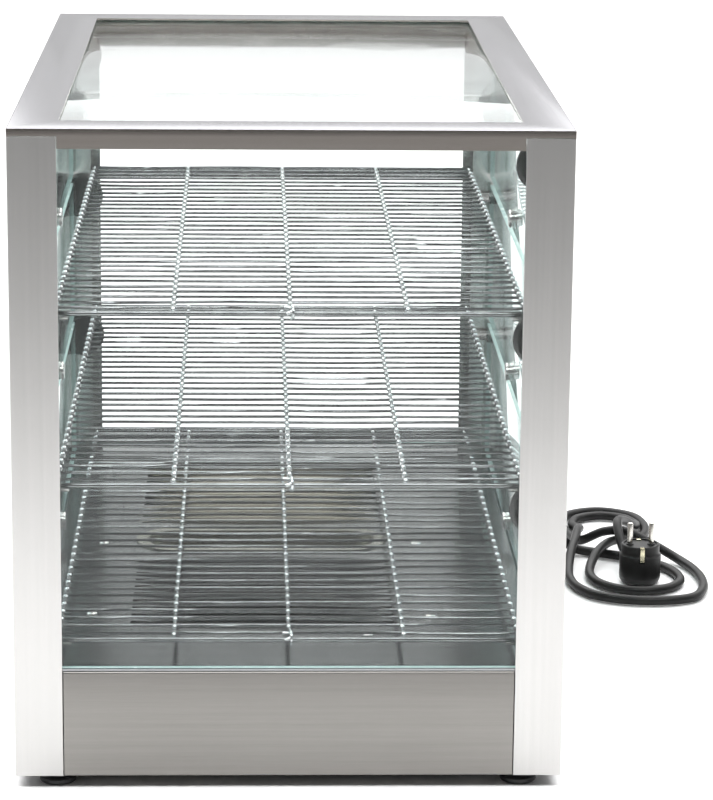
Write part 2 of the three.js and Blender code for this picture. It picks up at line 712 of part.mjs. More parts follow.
// The cord's route, from the gland to the plug, as it lies on the worktop.
const CORD_POINTS = [
  [232.6, 273, 32],
  [241, 273, 31],
  [251, 273, 24],
  [260, 272.5, 13.5],
  [270.1, 271, 6.2],
  [284, 266, 4.6],
  [303, 256, 4.6],
  [323, 243, 4.6],
  [341, 225, 4.6],
  [353, 201, 4.6],
  [355, 175, 4.6],
  [343, 153, 4.6],
  [320, 143, 4.6],
  [297, 149, 4.6],
  [282, 167, 4.6],
  [276.4, 191, 4.6],
  [279.1, 216, 6.5],
  [288, 240, 12.6],
  [301, 263, 14.6],
  [317.4, 285.1, 11.5],
  [337.2, 314.5, 5.6],
  [344, 352, 4.6],
  [335.5, 387, 4.6],
  [305.5, 404.3, 4.6],
  [275.5, 390.5, 4.6],
  [267, 356.8, 4.6],
  [270.1, 321.1, 4.8],
  [278.3, 292.7, 8],
  [298, 278, 20.6],
  [316, 270, 23],
  [339, 257, 15],
  [360.6, 239, 6],
  [371, 212, 4.6],
  [374.9, 180, 4.6],
  [371.6, 148, 4.6],
  [359.9, 124, 4.6],
  [333, 114, 4.6],
  [302, 116, 4.6],
  [276.4, 129, 4.6],
  [262, 153, 4.6],
  [257, 182, 4.8],
  [259, 212, 6.5],
  [263.8, 241, 12.5],
  [269.8, 268, 16.2],
  [275.1, 296.1, 17.5],
  [279.7, 326.6, 9.8],
  [276, 354.5, 5.2],
  [283.6, 378.4, 4.6],
  [305.2, 388.3, 4.6],
  [326.9, 378.6, 4.8],
  [335.1, 353, 6.5],
  [329.6, 321.1, 14.5],
  [316, 291.6, 27.5],
  [308.5, 268, 32],
  [308.5, 251, 24.5],
  [310.4, 240, 17.6],
  [312.1, 230.3, 14.6],
  [313.6, 222.4, 14],
];

function addCord() {
  const gland = turned(
    [
      [CORD_RADIUS + GAP, -GLAND_INNER_LENGTH],
      [GLAND_NECK_RADIUS, -GLAND_INNER_LENGTH],
      [GLAND_NECK_RADIUS, GAP],
      [GLAND_FLANGE_RADIUS, GAP],
      [GLAND_FLANGE_RADIUS, GAP + 4],
      [GLAND_NECK_RADIUS, GAP + 6],
      [GLAND_NOSE_RADIUS, GLAND_LENGTH],
      [0, GLAND_LENGTH],
      [0, 0],
      [CORD_RADIUS + GAP, 0],
      [CORD_RADIUS + GAP, -GLAND_INNER_LENGTH],
    ],
    "x",
  ).translate([HALF_WIDTH, GLAND_Y, GLAND_HEIGHT]);
  addPiece("cord_gland", gland, blackPlastic);

  const points = CORD_POINTS.map(([x, y, z]) => new THREE.Vector3(x, y, z));
  const route = new THREE.CatmullRomCurve3(points, false, "centripetal");
  addPiece("mains_cord", tube(route, CORD_RADIUS, CORD_SIDES, CORD_STEPS), rubber);
}

function addPlug() {
  const face = PLUG_HEIGHT;
  const body = turned(
    [
      [0, PLUG_LIFT],
      [PLUG_RADIUS - 4, PLUG_LIFT],
      [PLUG_RADIUS, PLUG_LIFT + 5],
      [PLUG_RADIUS, face - 10],
      [PLUG_FACE_RADIUS, face - 8],
      [PLUG_FACE_RADIUS, face],
      [0, face],
    ],
    "z",
  );
  const boot = turned(
    [
      [0, 0],
      [PLUG_BOOT_RADIUS + 2, 0],
      [PLUG_BOOT_RADIUS, PLUG_RADIUS + 2],
      [CORD_RADIUS + 1.2, PLUG_BOOT_LENGTH],
      [0, PLUG_BOOT_LENGTH],
    ],
    "x",
    ROUND_SMALL,
  )
    .rotate([0, 0, PLUG_BOOT_TURN])
    .translate([0, 0, PLUG_BOOT_HEIGHT]);
  let plug = body.add(boot);
  for (const side of [-1, 1]) {
    const pin = turned(
      [
        [0, face - 1],
        [PIN_RADIUS, face - 1],
        [PIN_RADIUS, face + PIN_LENGTH - 1.5],
        [PIN_RADIUS - 1, face + PIN_LENGTH],
        [0, face + PIN_LENGTH],
      ],
      "z",
      ROUND_SMALL,
    );
    plug = plug.add(pin.translate([(side * PIN_SPACING) / 2, 0, 0]));
  }
  addPiece("plug", plug.translate([PLUG_X, PLUG_Y, 0]), rubber);
}

addTopFrame();
addPanes();
addPosts();
addBase();
addFloor();
addFeet();
addFlaps();
addShelves();
addTray();
addElement();
addControls();
addCord();
addPlug();

export default displayCase;
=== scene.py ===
import math
import random

import bmesh
import bpy
from mathutils import Matrix, Vector


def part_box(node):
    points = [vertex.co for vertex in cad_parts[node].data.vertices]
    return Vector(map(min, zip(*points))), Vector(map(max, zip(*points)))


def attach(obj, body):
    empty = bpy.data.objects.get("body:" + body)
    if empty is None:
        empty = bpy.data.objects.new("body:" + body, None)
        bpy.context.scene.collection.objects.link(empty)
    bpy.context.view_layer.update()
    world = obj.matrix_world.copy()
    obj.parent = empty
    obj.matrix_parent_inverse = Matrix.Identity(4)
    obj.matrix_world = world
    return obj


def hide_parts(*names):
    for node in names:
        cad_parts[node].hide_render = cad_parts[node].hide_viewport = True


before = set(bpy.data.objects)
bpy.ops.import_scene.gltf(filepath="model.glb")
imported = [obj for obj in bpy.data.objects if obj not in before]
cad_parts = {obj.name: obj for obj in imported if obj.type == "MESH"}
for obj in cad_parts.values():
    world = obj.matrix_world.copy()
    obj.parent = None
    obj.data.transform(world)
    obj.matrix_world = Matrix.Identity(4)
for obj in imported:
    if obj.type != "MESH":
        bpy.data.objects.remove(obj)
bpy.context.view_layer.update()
MM = 0.001


# ---- Camera --------------------------------------------------------------------------------------

def set_camera(place, pitch, yaw, roll, lens):
    forward = Vector((-math.sin(yaw) * math.cos(pitch), math.cos(yaw) * math.cos(pitch), -math.sin(pitch)))
    level = Vector((math.cos(yaw), math.sin(yaw), 0))
    upright = level.cross(forward)
    right = math.cos(roll) * level + math.sin(roll) * upright
    up = -math.sin(roll) * level + math.cos(roll) * upright
    turn = Matrix((right, up, -forward)).transposed()
    data = bpy.data.cameras.new("camera")
    camera = bpy.data.objects.new("camera", data)
    bpy.context.scene.collection.objects.link(camera)
    camera.matrix_world = Matrix.Translation(place) @ turn.to_4x4()
    data.lens = lens
    data.sensor_width = 36
    data.clip_start, data.clip_end = 0.05, 60
    bpy.context.scene.camera = camera


set_camera(Vector((-0.03069, -2.5732, 0.8343)), pitch=0.2372, yaw=-0.0347, roll=0.0100, lens=145.18)


# ---- Shader maths --------------------------------------------------------------------------------

class Number:
    """A number that changes over a surface."""

    def __init__(self, finish, socket):
        self.finish, self.socket = finish, socket

    def worked(self, operation, first, second=None):
        values = {0: first}
        if second is not None:
            values[1] = second
        return self.finish.node("ShaderNodeMath", {"operation": operation}, values)

    def __add__(self, other):
        return self.worked("ADD", self, other)

    __radd__ = __add__

    def __sub__(self, other):
        return self.worked("SUBTRACT", self, other)

    def __rsub__(self, other):
        return self.worked("SUBTRACT", other, self)

    def __mul__(self, other):
        return self.worked("MULTIPLY", self, other)

    __rmul__ = __mul__

    def __pow__(self, other):
        return self.worked("POWER", self, other)


class Finish:
    """A procedural material. Numbers and colours that are the same all over go straight on the shader."""

    def __init__(self, name, **surface):
        self.material = bpy.data.materials.new(name)
        self.material.use_nodes = True
        self.tree = self.material.node_tree
        self.shader = self.tree.nodes["Principled BSDF"]
        self.output = self.tree.nodes["Material Output"]
        for socket, value in surface.items():
            self.shader.inputs[socket.replace("_", " ")].default_value = value

    def node(self, kind, settings=None, values=None, output=0):
        """Adds a node with its settings and its sockets' values or links, and gives one of its outputs."""
        made = self.tree.nodes.new(kind)
        for setting, value in (settings or {}).items():
            setattr(made, setting, value)
        for socket, value in (values or {}).items():
            if isinstance(value, Number):
                self.tree.links.new(value.socket, made.inputs[socket])
            else:
                made.inputs[socket].default_value = value
        return Number(self, made.outputs[output])

    def place(self, scale=(1, 1, 1), turn=(0, 0, 0), shift=(0, 0, 0)):
        """Object coordinates in metres, scaled, turned and shifted."""
        where = self.node("ShaderNodeTexCoord", output="Object")
        values = {"Vector": where, "Scale": scale, "Rotation": turn, "Location": shift}
        return self.node("ShaderNodeMapping", None, values)

    def noise(self, scale, stretch=(1, 1, 1), detail=3, roughness=0.5, turn=(0, 0, 0)):
        where = self.place(stretch, turn)
        values = {"Vector": where, "Scale": scale, "Detail": detail, "Roughness": roughness}
        return self.node("ShaderNodeTexNoise", None, values)

    def ramp(self, value, low, high, out_low=0.0, out_high=1.0):
        values = {"Value": value, "From Min": low, "From Max": high, "To Min": out_low, "To Max": out_high}
        return self.node("ShaderNodeMapRange", {"clamp": True}, values)

    def blend(self, factor, first, second):
        """A colour between two colours."""
        values = {0: factor, 6: first, 7: second}
        return self.node("ShaderNodeMix", {"data_type": "RGBA"}, values, output=2)

    def drive(self, **sockets):
        for socket, value in sockets.items():
            self.tree.links.new(value.socket, self.shader.inputs[socket.replace("_", " ")])
        return self

    def bump(self, height, distance, strength=1.0):
        values = {"Height": height, "Distance": distance, "Strength": strength}
        return self.drive(Normal=self.node("ShaderNodeBump", None, values))


def rgb(red, green, blue):
    return (red, green, blue, 1)


# ---- Finishes ------------------------------------------------------------------------------------

def brushed(name, along, dark, light, rough, spread=0.06):
    """Brushed stainless steel with its grain along one axis."""
    finish = Finish(name, Metallic=1.0)
    stretch = [1.0, 1.0, 1.0]
    stretch["xyz".index(along)] = 0.012
    grain = finish.noise(2600, stretch, detail=4, roughness=0.7)
    streak = finish.noise(260, stretch, detail=2)
    cloud = finish.noise(5, detail=2)
    tone = 0.45 * grain + 0.35 * streak + 0.2 * cloud
    finish.drive(
        Base_Color=finish.blend(finish.ramp(tone, 0.3, 0.7), dark, light),
        Roughness=rough + spread * (finish.ramp(grain, 0.3, 0.7) - 0.5) + 0.05 * (cloud - 0.5),
    )
    return finish.bump(grain, 0.00003, 0.35)


def clear_glass(name, tint, mirrored, head_on):
    """A thin pane: it lets light straight through and mirrors more as it is seen more edge on."""
    finish = Finish(name, Base_Color=mirrored, Metallic=1.0)
    facing = finish.node("ShaderNodeLayerWeight", None, {"Blend": 0.5}, output="Facing")
    smear = finish.noise(9, (1, 1, 0.35), detail=5, roughness=0.6)
    mirror = head_on + (1 - head_on) * facing ** 5 + 0.008 * finish.ramp(smear, 0.5, 0.8)
    finish.drive(Roughness=0.012 + 0.05 * finish.ramp(smear, 0.5, 0.8))
    through = finish.node("ShaderNodeBsdfTransparent", None, {"Color": tint})
    reflected = Number(finish, finish.shader.outputs[0])
    mixed = finish.node("ShaderNodeMixShader", None, {0: mirror, 1: through, 2: reflected})
    finish.tree.links.new(mixed.socket, finish.output.inputs["Surface"])
    return finish


def glass_edge(name):
    """The ground edge of a pane: soft and pale green."""
    finish = Finish(name, Metallic=0.0, IOR=1.5, Coat_Roughness=0.1)
    cloud = finish.noise(120, detail=3)
    finish.drive(
        Base_Color=finish.blend(cloud, rgb(0.36, 0.52, 0.50), rgb(0.55, 0.70, 0.68)),
        Roughness=0.18 + 0.14 * cloud,
    )
    return finish


def plastic(name, dark, light, rough, grain=0.00004, coat=0.0, specular=0.5):
    """Moulded plastic with a fine spark texture."""
    finish = Finish(name, IOR=1.5, Coat_Weight=coat, Coat_Roughness=0.08, Specular_IOR_Level=specular)
    spark = finish.noise(3200, detail=2)
    cloud = finish.noise(60, detail=3)
    finish.drive(
        Base_Color=finish.blend(finish.ramp(cloud, 0.3, 0.7), dark, light),
        Roughness=rough + 0.08 * (cloud - 0.5) + 0.05 * (spark - 0.5),
    )
    return finish.bump(spark, grain, 0.5)


def plated(name, dark, light, rough):
    """Bright plated wire or turned steel, with faint patches."""
    finish = Finish(name, Metallic=1.0)
    patch = finish.noise(45, detail=4, roughness=0.6)
    fine = finish.noise(700, detail=2)
    finish.drive(
        Base_Color=finish.blend(finish.ramp(patch, 0.3, 0.7), dark, light),
        Roughness=rough + 0.10 * (patch - 0.5) + 0.06 * (fine - 0.5),
    )
    return finish.bump(fine, 0.00006, 0.4)


POST_STEEL = brushed("post_steel", "z", rgb(0.465, 0.458, 0.450), rgb(0.540, 0.532, 0.524), 0.22)
# The four base panels are one brushed steel: the end panels get a darker base colour as painted shade and the
# side panels a lighter one as painted light.
END_PANEL_SHADED_STEEL = brushed("end_panel_steel_painted_shade", "x", rgb(0.225, 0.216, 0.204), rgb(0.282, 0.271, 0.257), 0.36)
SIDE_PANEL_LIT_STEEL = brushed("side_panel_steel_painted_light", "y", rgb(0.42, 0.405, 0.39), rgb(0.52, 0.505, 0.485), 0.36)
# The top frame is one folded sheet: its upward faces get a darker base colour as painted shade and its lip
# faces a lighter, warmer one as painted light.
TOP_FACE_SHADED_STEEL = brushed("top_frame_steel_painted_shade", "y", rgb(0.245, 0.241, 0.257), rgb(0.290, 0.286, 0.304), 0.22)
LIP_LIT_STEEL = brushed("lip_steel_painted_light", "x", rgb(0.34, 0.31, 0.285), rgb(0.41, 0.38, 0.355), 0.25)
FLOOR_STEEL = brushed("floor_steel", "y", rgb(0.23, 0.235, 0.24), rgb(0.315, 0.32, 0.325), 0.17)
# Near-black steel for the plate under the case: painted shade.
UNDER_SHADED_STEEL = brushed("inner_steel_painted_shade", "x", rgb(0.08, 0.08, 0.08), rgb(0.13, 0.13, 0.13), 0.35)
TRAY_STEEL = brushed("tray_steel", "x", rgb(0.36, 0.35, 0.31), rgb(0.48, 0.47, 0.42), 0.20)
HEATER_STEEL = brushed("heater_steel", "y", rgb(0.10, 0.10, 0.10), rgb(0.20, 0.20, 0.20), 0.40)
# Rear louvres: the same pressed steel as the front ones, given a dark gold base colour as a painted warm
# reflection.
WARM_REFLECTION_STEEL = brushed("rear_louvre_painted_reflection", "x", rgb(0.062, 0.055, 0.036), rgb(0.100, 0.090, 0.066), 0.20)
# The shelf wire is one plating: the frame, cross wires and rest rods get a very dark base colour as painted
# shade, and the ribs, welds and hooks a bright copy as painted highlight.
SHADED_WIRE = plated("shelf_wire", rgb(0.150, 0.155, 0.160), rgb(0.260, 0.268, 0.273), 0.20)
HIGHLIGHT_ZINC = plated("zinc_painted_highlight", rgb(0.42, 0.43, 0.44), rgb(0.62, 0.63, 0.64), 0.20)
TURNED_STEEL = plated("turned_steel", rgb(0.52, 0.51, 0.50), rgb(0.72, 0.71, 0.70), 0.24)
PIN_STEEL = plated("plug_pin_nickel", rgb(0.58, 0.56, 0.52), rgb(0.78, 0.76, 0.72), 0.22)
BRASS = plated("earth_clip_brass", rgb(0.62, 0.58, 0.40), rgb(0.80, 0.76, 0.56), 0.25)
GLASS = clear_glass("clear_glass", rgb(0.985, 0.995, 0.99), rgb(0.97, 1.0, 1.0), 0.022)
SIDE_GLASS = clear_glass("side_glass", rgb(0.90, 0.945, 0.94), rgb(0.60, 0.67, 0.67), 0.035)
GLASS_RIM = glass_edge("glass_edge")
GLOSS_BLACK = plastic(
    "gloss_black_plastic", rgb(0.006, 0.006, 0.006), rgb(0.016, 0.016, 0.015), 0.16, coat=0.3,
)
MATT_BLACK = plastic("black_rubber", rgb(0.012, 0.012, 0.013), rgb(0.028, 0.028, 0.029), 0.55)
CORD_BLACK = plastic("cord_sheath", rgb(0.004, 0.004, 0.004), rgb(0.010, 0.010, 0.010), 0.42, specular=0.28)
PLUG_BLACK = plastic("plug_rubber", rgb(0.004, 0.004, 0.004), rgb(0.009, 0.009, 0.009), 0.36, specular=0.30)
RED_PLASTIC = plastic("red_rocker", rgb(0.42, 0.03, 0.02), rgb(0.55, 0.05, 0.03), 0.28)
CERAMIC = plastic("white_ceramic", rgb(0.62, 0.59, 0.53), rgb(0.74, 0.71, 0.65), 0.6)


# ---- Making pieces -------------------------------------------------------------------------------

def clear():
    """Object mode with nothing selected."""
    if bpy.context.mode != "OBJECT":
        bpy.ops.object.mode_set(mode="OBJECT")
    bpy.ops.object.select_all(action="DESELECT")


def only(piece):
    clear()
    piece.select_set(True)
    bpy.context.view_layer.objects.active = piece


def settle(piece):
    """The piece's place, turn and scale go into its mesh."""
    only(piece)
    bpy.ops.object.transform_apply(location=True, rotation=True, scale=True)


def added(name, kind, scale=(1, 1, 1), **how):
    """A primitive at its size and place, named and settled."""
    clear()
    getattr(bpy.ops.mesh, f"primitive_{kind}_add")(**how)
    piece = bpy.context.object
    piece.name = piece.data.name = name
    piece.scale = scale
    settle(piece)
    return piece


def shape(piece):
    """Edit mode with nothing selected."""
    only(piece)
    bpy.ops.object.mode_set(mode="EDIT")
    bpy.ops.mesh.select_all(action="DESELECT")


def pick(kind, test):
    """Selects the faces, edges or vertices whose middle and normal pass the test."""
    bpy.ops.mesh.select_mode(type=kind)
    bpy.ops.mesh.select_all(action="DESELECT")
    bm = bmesh.from_edit_mesh(bpy.context.edit_object.data)
    bm.normal_update()
    if kind == "FACE":
        chosen = [f for f in bm.faces if test(f.calc_center_median(), f.normal)]
    elif kind == "EDGE":
        chosen = [e for e in bm.edges if test((e.verts[0].co + e.verts[1].co) / 2, e)]
    else:
        chosen = [v for v in bm.verts if test(v.co, v.normal)]
    for part in chosen:
        part.select_set(True)
    bm.select_flush_mode()
    bmesh.update_edit_mesh(bpy.context.edit_object.data)
    return len(chosen)


def near(a, b, within=1e-5):
    return abs(a - b) < within


def extrude(move):
    bpy.ops.mesh.extrude_region_move(TRANSFORM_OT_translate={"value": move})


def modify(piece, kind, **settings):
    """Adds a modifier and applies it."""
    only(piece)
    modifier = piece.modifiers.new(kind, kind)
    for setting, value in settings.items():
        setattr(modifier, setting, value)
    bpy.ops.object.modifier_apply(modifier=modifier.name)


def soften(piece, width, segments=2, angle=35):
    """Rounds the sharp edges and smooths what is left."""
    modify(
        piece, "BEVEL", width=width, segments=segments, limit_method="ANGLE",
        angle_limit=math.radians(angle), harden_normals=False,
    )
    smooth(piece)


def smooth(piece, angle=32):
    only(piece)
    bpy.ops.object.shade_smooth_by_angle(angle=math.radians(angle))


def outward(piece):
    """Merges doubles and turns every face outwards, on a closed piece."""
    shape(piece)
    bpy.ops.mesh.select_all(action="SELECT")
    bpy.ops.mesh.remove_doubles(threshold=1e-6)
    bpy.ops.mesh.normals_make_consistent(inside=False)
    clear()


def copied(piece, name, move=(0, 0, 0)):
    """A copy with its own mesh."""
    copy = piece.copy()
    copy.data = piece.data.copy()
    copy.name = copy.data.name = name
    bpy.context.scene.collection.objects.link(copy)
    copy.location = move
    settle(copy)
    return copy


def joined(name, pieces):
    clear()
    for piece in pieces:
        piece.select_set(True)
    bpy.context.view_layer.objects.active = pieces[0]
    if len(pieces) > 1:
        bpy.ops.object.join()
    whole = bpy.context.view_layer.objects.active
    whole.name = whole.data.name = name
    return whole


def cut(piece, cutter):
    """Takes the cutter's shape out of the piece."""
    modify(piece, "BOOLEAN", operation="DIFFERENCE", object=cutter, solver="EXACT")
    bpy.data.objects.remove(cutter)


def done(piece, finish, body, slot, *nodes):
    """Gives a piece its finish, its body and the CAD nodes that it stands for."""
    if not piece.data.materials:
        piece.data.materials.append(finish.material)
    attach(piece, body)
    if nodes:
        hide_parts(*nodes)
    return piece


def dressed(node, finish):
    """A CAD node that stays, with its finish."""
    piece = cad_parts[node]
    piece.data.materials.clear()
    piece.data.materials.append(finish.material)


def block(name, low, high, width=0.0004, segments=2):
    """A box between two corners with rounded edges."""
    low, high = Vector(low), Vector(high)
    piece = added(name, "cube", size=1, location=(low + high) / 2, scale=high - low)
    soften(piece, width, segments)
    return piece


def turned(name, profile, axis="z", place=(0, 0, 0), sides=32, width=0.0):
    """A round piece turned about an axis. The profile is (radius, distance along it), end to end."""
    first_radius, first = profile[0]
    piece = added(
        name, "circle", vertices=sides, radius=first_radius, fill_type="NGON", location=(0, 0, first),
    )
    shape(piece)
    bpy.ops.mesh.select_all(action="SELECT")
    radius, along = first_radius, first
    for next_radius, next_along in profile[1:]:
        extrude((0, 0, next_along - along))
        if not near(next_radius, radius, 1e-9):
            factor = next_radius / radius
            bpy.ops.transform.resize(value=(factor, factor, 1), center_override=(0, 0, next_along))
        radius, along = next_radius, next_along
    clear()
    outward(piece)
    if width:
        soften(piece, width, 2, 30)
    else:
        smooth(piece)
    piece.rotation_euler = {"x": (0, math.pi / 2, 0), "y": (-math.pi / 2, 0, 0), "z": (0, 0, 0)}[axis]
    piece.location = place
    settle(piece)
    return piece


SPIN_SIGN = -1  # with no window, spin turns the other way


def bent_rod(name, radius, start, heading, moves, sides=10, closed=False):
    """A round rod bent step by step. A move is a length, or (angle, bend radius, axis of the bend)."""
    heading, spot = Vector(heading).normalized(), Vector(start)
    tilt = Vector((0, 0, 1)).rotation_difference(heading).to_euler()
    piece = added(
        name, "circle", vertices=sides, radius=radius, fill_type="NOTHING", location=spot, rotation=tilt,
    )
    shape(piece)
    bpy.ops.mesh.select_mode(type="EDGE")
    bpy.ops.mesh.select_all(action="SELECT")
    for move in moves:
        if isinstance(move, (int, float)):
            extrude(heading * move)
            spot = spot + heading * move
            continue
        angle, bend, axis = move
        axis = Vector(axis).normalized()
        centre = spot + axis.cross(heading).normalized() * bend
        steps = max(2, round(angle / math.radians(18)))
        bpy.ops.mesh.spin(steps=steps, angle=SPIN_SIGN * angle, center=centre, axis=axis, dupli=False)
        swing = Matrix.Rotation(angle, 3, axis)
        spot = centre + swing @ (spot - centre)
        heading = swing @ heading
        bm = bmesh.from_edit_mesh(piece.data)
        ring = [v.co for v in bm.verts if v.select]
        middle = sum(ring, Vector()) / len(ring)
        if (middle - spot).length > 1e-4:
            raise RuntimeError(f"{name}: the bend went to {middle} and not {spot}")
    if not closed:
        bpy.ops.mesh.select_all(action="DESELECT")
        bpy.ops.mesh.select_mode(type="EDGE")
        bpy.ops.mesh.select_non_manifold()
        bpy.ops.mesh.edge_face_add()
    clear()
    outward(piece)
    smooth(piece, 50)
    return piece


def folded(name, centre, turn, size, folds, normal):
    """Sheet metal: a flat face with walls folded from it. A fold is (test of the edge's middle, [moves])."""
    piece = added(name, "plane", size=1, location=centre, rotation=turn, scale=(*size, 1))
    shape(piece)
    pick("FACE", lambda middle, face_normal: True)
    bm = bmesh.from_edit_mesh(piece.data)
    bm.faces.ensure_lookup_table()
    if bm.faces[0].normal.dot(Vector(normal)) < 0:
        bpy.ops.mesh.flip_normals()
    for test, moves in folds:
        pick("EDGE", lambda middle, edge: edge.is_boundary and test(middle))
        for move in moves:
            extrude(move)
    clear()
    return piece


def thicken(piece, thickness, bend=0.0, edge=0.0002):
    """Rounds the folds of a sheet metal skin, gives it its wall inwards and softens its cut edges."""
    if bend:
        shape(piece)
        pick("EDGE", lambda middle, e: e.is_manifold and e.calc_face_angle(0) > 0.5)
        bpy.ops.mesh.bevel(offset=bend, segments=4, affect="EDGES")
        clear()
    modify(piece, "SOLIDIFY", thickness=thickness, offset=-1, use_even_offset=True)
    soften(piece, edge, 1, 50)


# ---- Stage and light -----------------------------------------------------------------------------

def set_stage():
    floor = added("worktop", "plane", size=16, location=(0, 0, -0.0004))
    pale = Finish("pale_worktop", Roughness=0.6)
    cloud = pale.noise(3, detail=2)
    pale.drive(Base_Color=pale.blend(cloud, rgb(0.91, 0.91, 0.91), rgb(0.94, 0.94, 0.94)))
    floor.data.materials.append(pale.material)

    world = bpy.data.worlds.new("studio")
    bpy.context.scene.world = world
    world.use_nodes = True
    nodes, links = world.node_tree.nodes, world.node_tree.links
    where = nodes.new("ShaderNodeTexCoord")
    parts = nodes.new("ShaderNodeSeparateXYZ")
    links.new(where.outputs["Object"], parts.inputs[0])
    wall = nodes.new("ShaderNodeMapRange")
    wall.interpolation_type = "SMOOTHSTEP"
    for socket, value in (("From Min", -0.5), ("From Max", 0.7), ("To Min", 0.12), ("To Max", 0.80)):
        wall.inputs[socket].default_value = value
    links.new(parts.outputs["Y"], wall.inputs["Value"])
    lit = nodes.new("ShaderNodeLightPath")
    strength = nodes.new("ShaderNodeMix")
    strength.inputs[3].default_value = 1.35
    links.new(lit.outputs["Is Camera Ray"], strength.inputs[0])
    links.new(wall.outputs[0], strength.inputs[2])
    links.new(strength.outputs[0], nodes["Background"].inputs["Strength"])
    nodes["Background"].inputs["Color"].default_value = rgb(1, 1, 1)

    for name, place, aim, size, power in (
        ("overhead", (0, 2.3, 2.2), (0, 2.3, 0), (5.0, 5.0), 215),
        ("front_fill", (0, -0.68, 1.00), (0, -0.68, 0), (2.0, 0.4), 19),
        ("left_side", (-2.8, -0.2, 1.4), (0, 0, 0.3), (1.4, 1.4), 10),
        ("right_side", (2.8, 0.2, 1.4), (0, 0, 0.3), (1.4, 1.4), 10),
    ):
        data = bpy.data.lights.new(name, "AREA")
        data.shape = "RECTANGLE"
        data.size, data.size_y = size
        data.energy = power
        lamp = bpy.data.objects.new(name, data)
        bpy.context.scene.collection.objects.link(lamp)
        lamp.location = place
        lamp.rotation_mode = "QUATERNION"
        lamp.rotation_quaternion = (Vector(aim) - Vector(place)).to_track_quat("-Z", "Y")
    bpy.context.scene.cycles.transparent_max_bounces = 32
    bpy.context.scene.cycles.max_bounces = 16
    bpy.context.scene.cycles.glossy_bounces = 8
    bpy.context.scene.view_settings.view_transform = "Standard"


set_stage()


# ---- Mains cord and plug -------------------------------------------------------------------------

CORD_RADIUS = 0.0042
CORD_POINTS = [
    (0.2326, 0.273, 0.032), (0.241, 0.273, 0.031), (0.251, 0.273, 0.024), (0.26, 0.2725, 0.0135),
    (0.2701, 0.271, 0.0062), (0.284, 0.266, 0.0046), (0.303, 0.256, 0.0046), (0.323, 0.243, 0.0046),
    (0.341, 0.225, 0.0046), (0.353, 0.201, 0.0046), (0.355, 0.175, 0.0046), (0.343, 0.153, 0.0046),
    (0.32, 0.143, 0.0046), (0.297, 0.149, 0.0046), (0.282, 0.167, 0.0046), (0.2764, 0.191, 0.0046),
    (0.2791, 0.216, 0.0065), (0.288, 0.24, 0.0126), (0.301, 0.263, 0.0146), (0.3174, 0.2851, 0.0115),
    (0.3372, 0.3145, 0.0056), (0.344, 0.352, 0.0046), (0.3355, 0.387, 0.0046), (0.3055, 0.4043, 0.0046),
    (0.2755, 0.3905, 0.0046), (0.267, 0.3568, 0.0046), (0.2701, 0.3211, 0.0048), (0.2783, 0.2927, 0.008),
    (0.298, 0.278, 0.0206), (0.316, 0.27, 0.023), (0.339, 0.257, 0.015), (0.3606, 0.239, 0.006),
    (0.371, 0.212, 0.0046), (0.3749, 0.18, 0.0046), (0.3716, 0.148, 0.0046), (0.3599, 0.124, 0.0046),
    (0.333, 0.114, 0.0046), (0.302, 0.116, 0.0046), (0.2764, 0.129, 0.0046), (0.262, 0.153, 0.0046),
    (0.257, 0.182, 0.0048), (0.259, 0.212, 0.0065), (0.2638, 0.241, 0.0125), (0.2698, 0.268, 0.0162),
    (0.2751, 0.2961, 0.0175), (0.2797, 0.3266, 0.0098), (0.276, 0.3545, 0.0052), (0.2836, 0.3784, 0.0046),
    (0.3052, 0.3883, 0.0046), (0.3269, 0.3786, 0.0048), (0.3351, 0.353, 0.0065), (0.3296, 0.3211, 0.0145),
    (0.316, 0.2916, 0.0275), (0.3085, 0.268, 0.032), (0.3085, 0.251, 0.0245), (0.3104, 0.24, 0.0176),
    (0.3121, 0.2303, 0.0146), (0.3136, 0.2224, 0.014),
]


def smooth_route(points, step=0.0025):
    """A centripetal curve through the points, as a close run of points."""
    points = [Vector(p) for p in points]
    ends = [2 * points[0] - points[1], *points, 2 * points[-1] - points[-2]]
    route = [points[0]]
    for a, b, c, d in zip(ends, ends[1:], ends[2:], ends[3:]):
        before, here, after = ((q - p).length ** 0.5 for p, q in ((a, b), (b, c), (c, d)))
        leave = ((b - a) / before - (c - a) / (before + here) + (c - b) / here) * here
        reach = ((c - b) / here - (d - b) / (here + after) + (d - c) / after) * here
        count = max(2, round((c - b).length / step))
        for i in range(1, count + 1):
            t = i / count
            cubic = 2 * b - 2 * c + leave + reach
            square = -3 * b + 3 * c - 2 * leave - reach
            route.append(b + leave * t + square * t ** 2 + cubic * t ** 3)
    return route


def make_cord():
    into_gland = (CORD_POINTS[0][0] - 0.003, CORD_POINTS[0][1], CORD_POINTS[0][2] + 0.0002)
    last, before = Vector(CORD_POINTS[-1]), Vector(CORD_POINTS[-2])
    into_plug = last + (last - before).normalized() * 0.003
    route = [Vector(into_gland), *smooth_route(CORD_POINTS), into_plug]
    data = bpy.data.curves.new("mains_lead", "CURVE")
    data.dimensions = "3D"
    spline = data.splines.new("POLY")
    spline.points.add(len(route) - 1)
    for point, place in zip(spline.points, route):
        point.co = (*place, 1)
    data.bevel_depth = CORD_RADIUS
    data.bevel_resolution = 4
    data.use_fill_caps = True
    data.materials.append(CORD_BLACK.material)
    cord = bpy.data.objects.new("mains_lead", data)
    bpy.context.scene.collection.objects.link(cord)
    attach(cord, "case")
    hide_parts("mains_cord")
    return cord


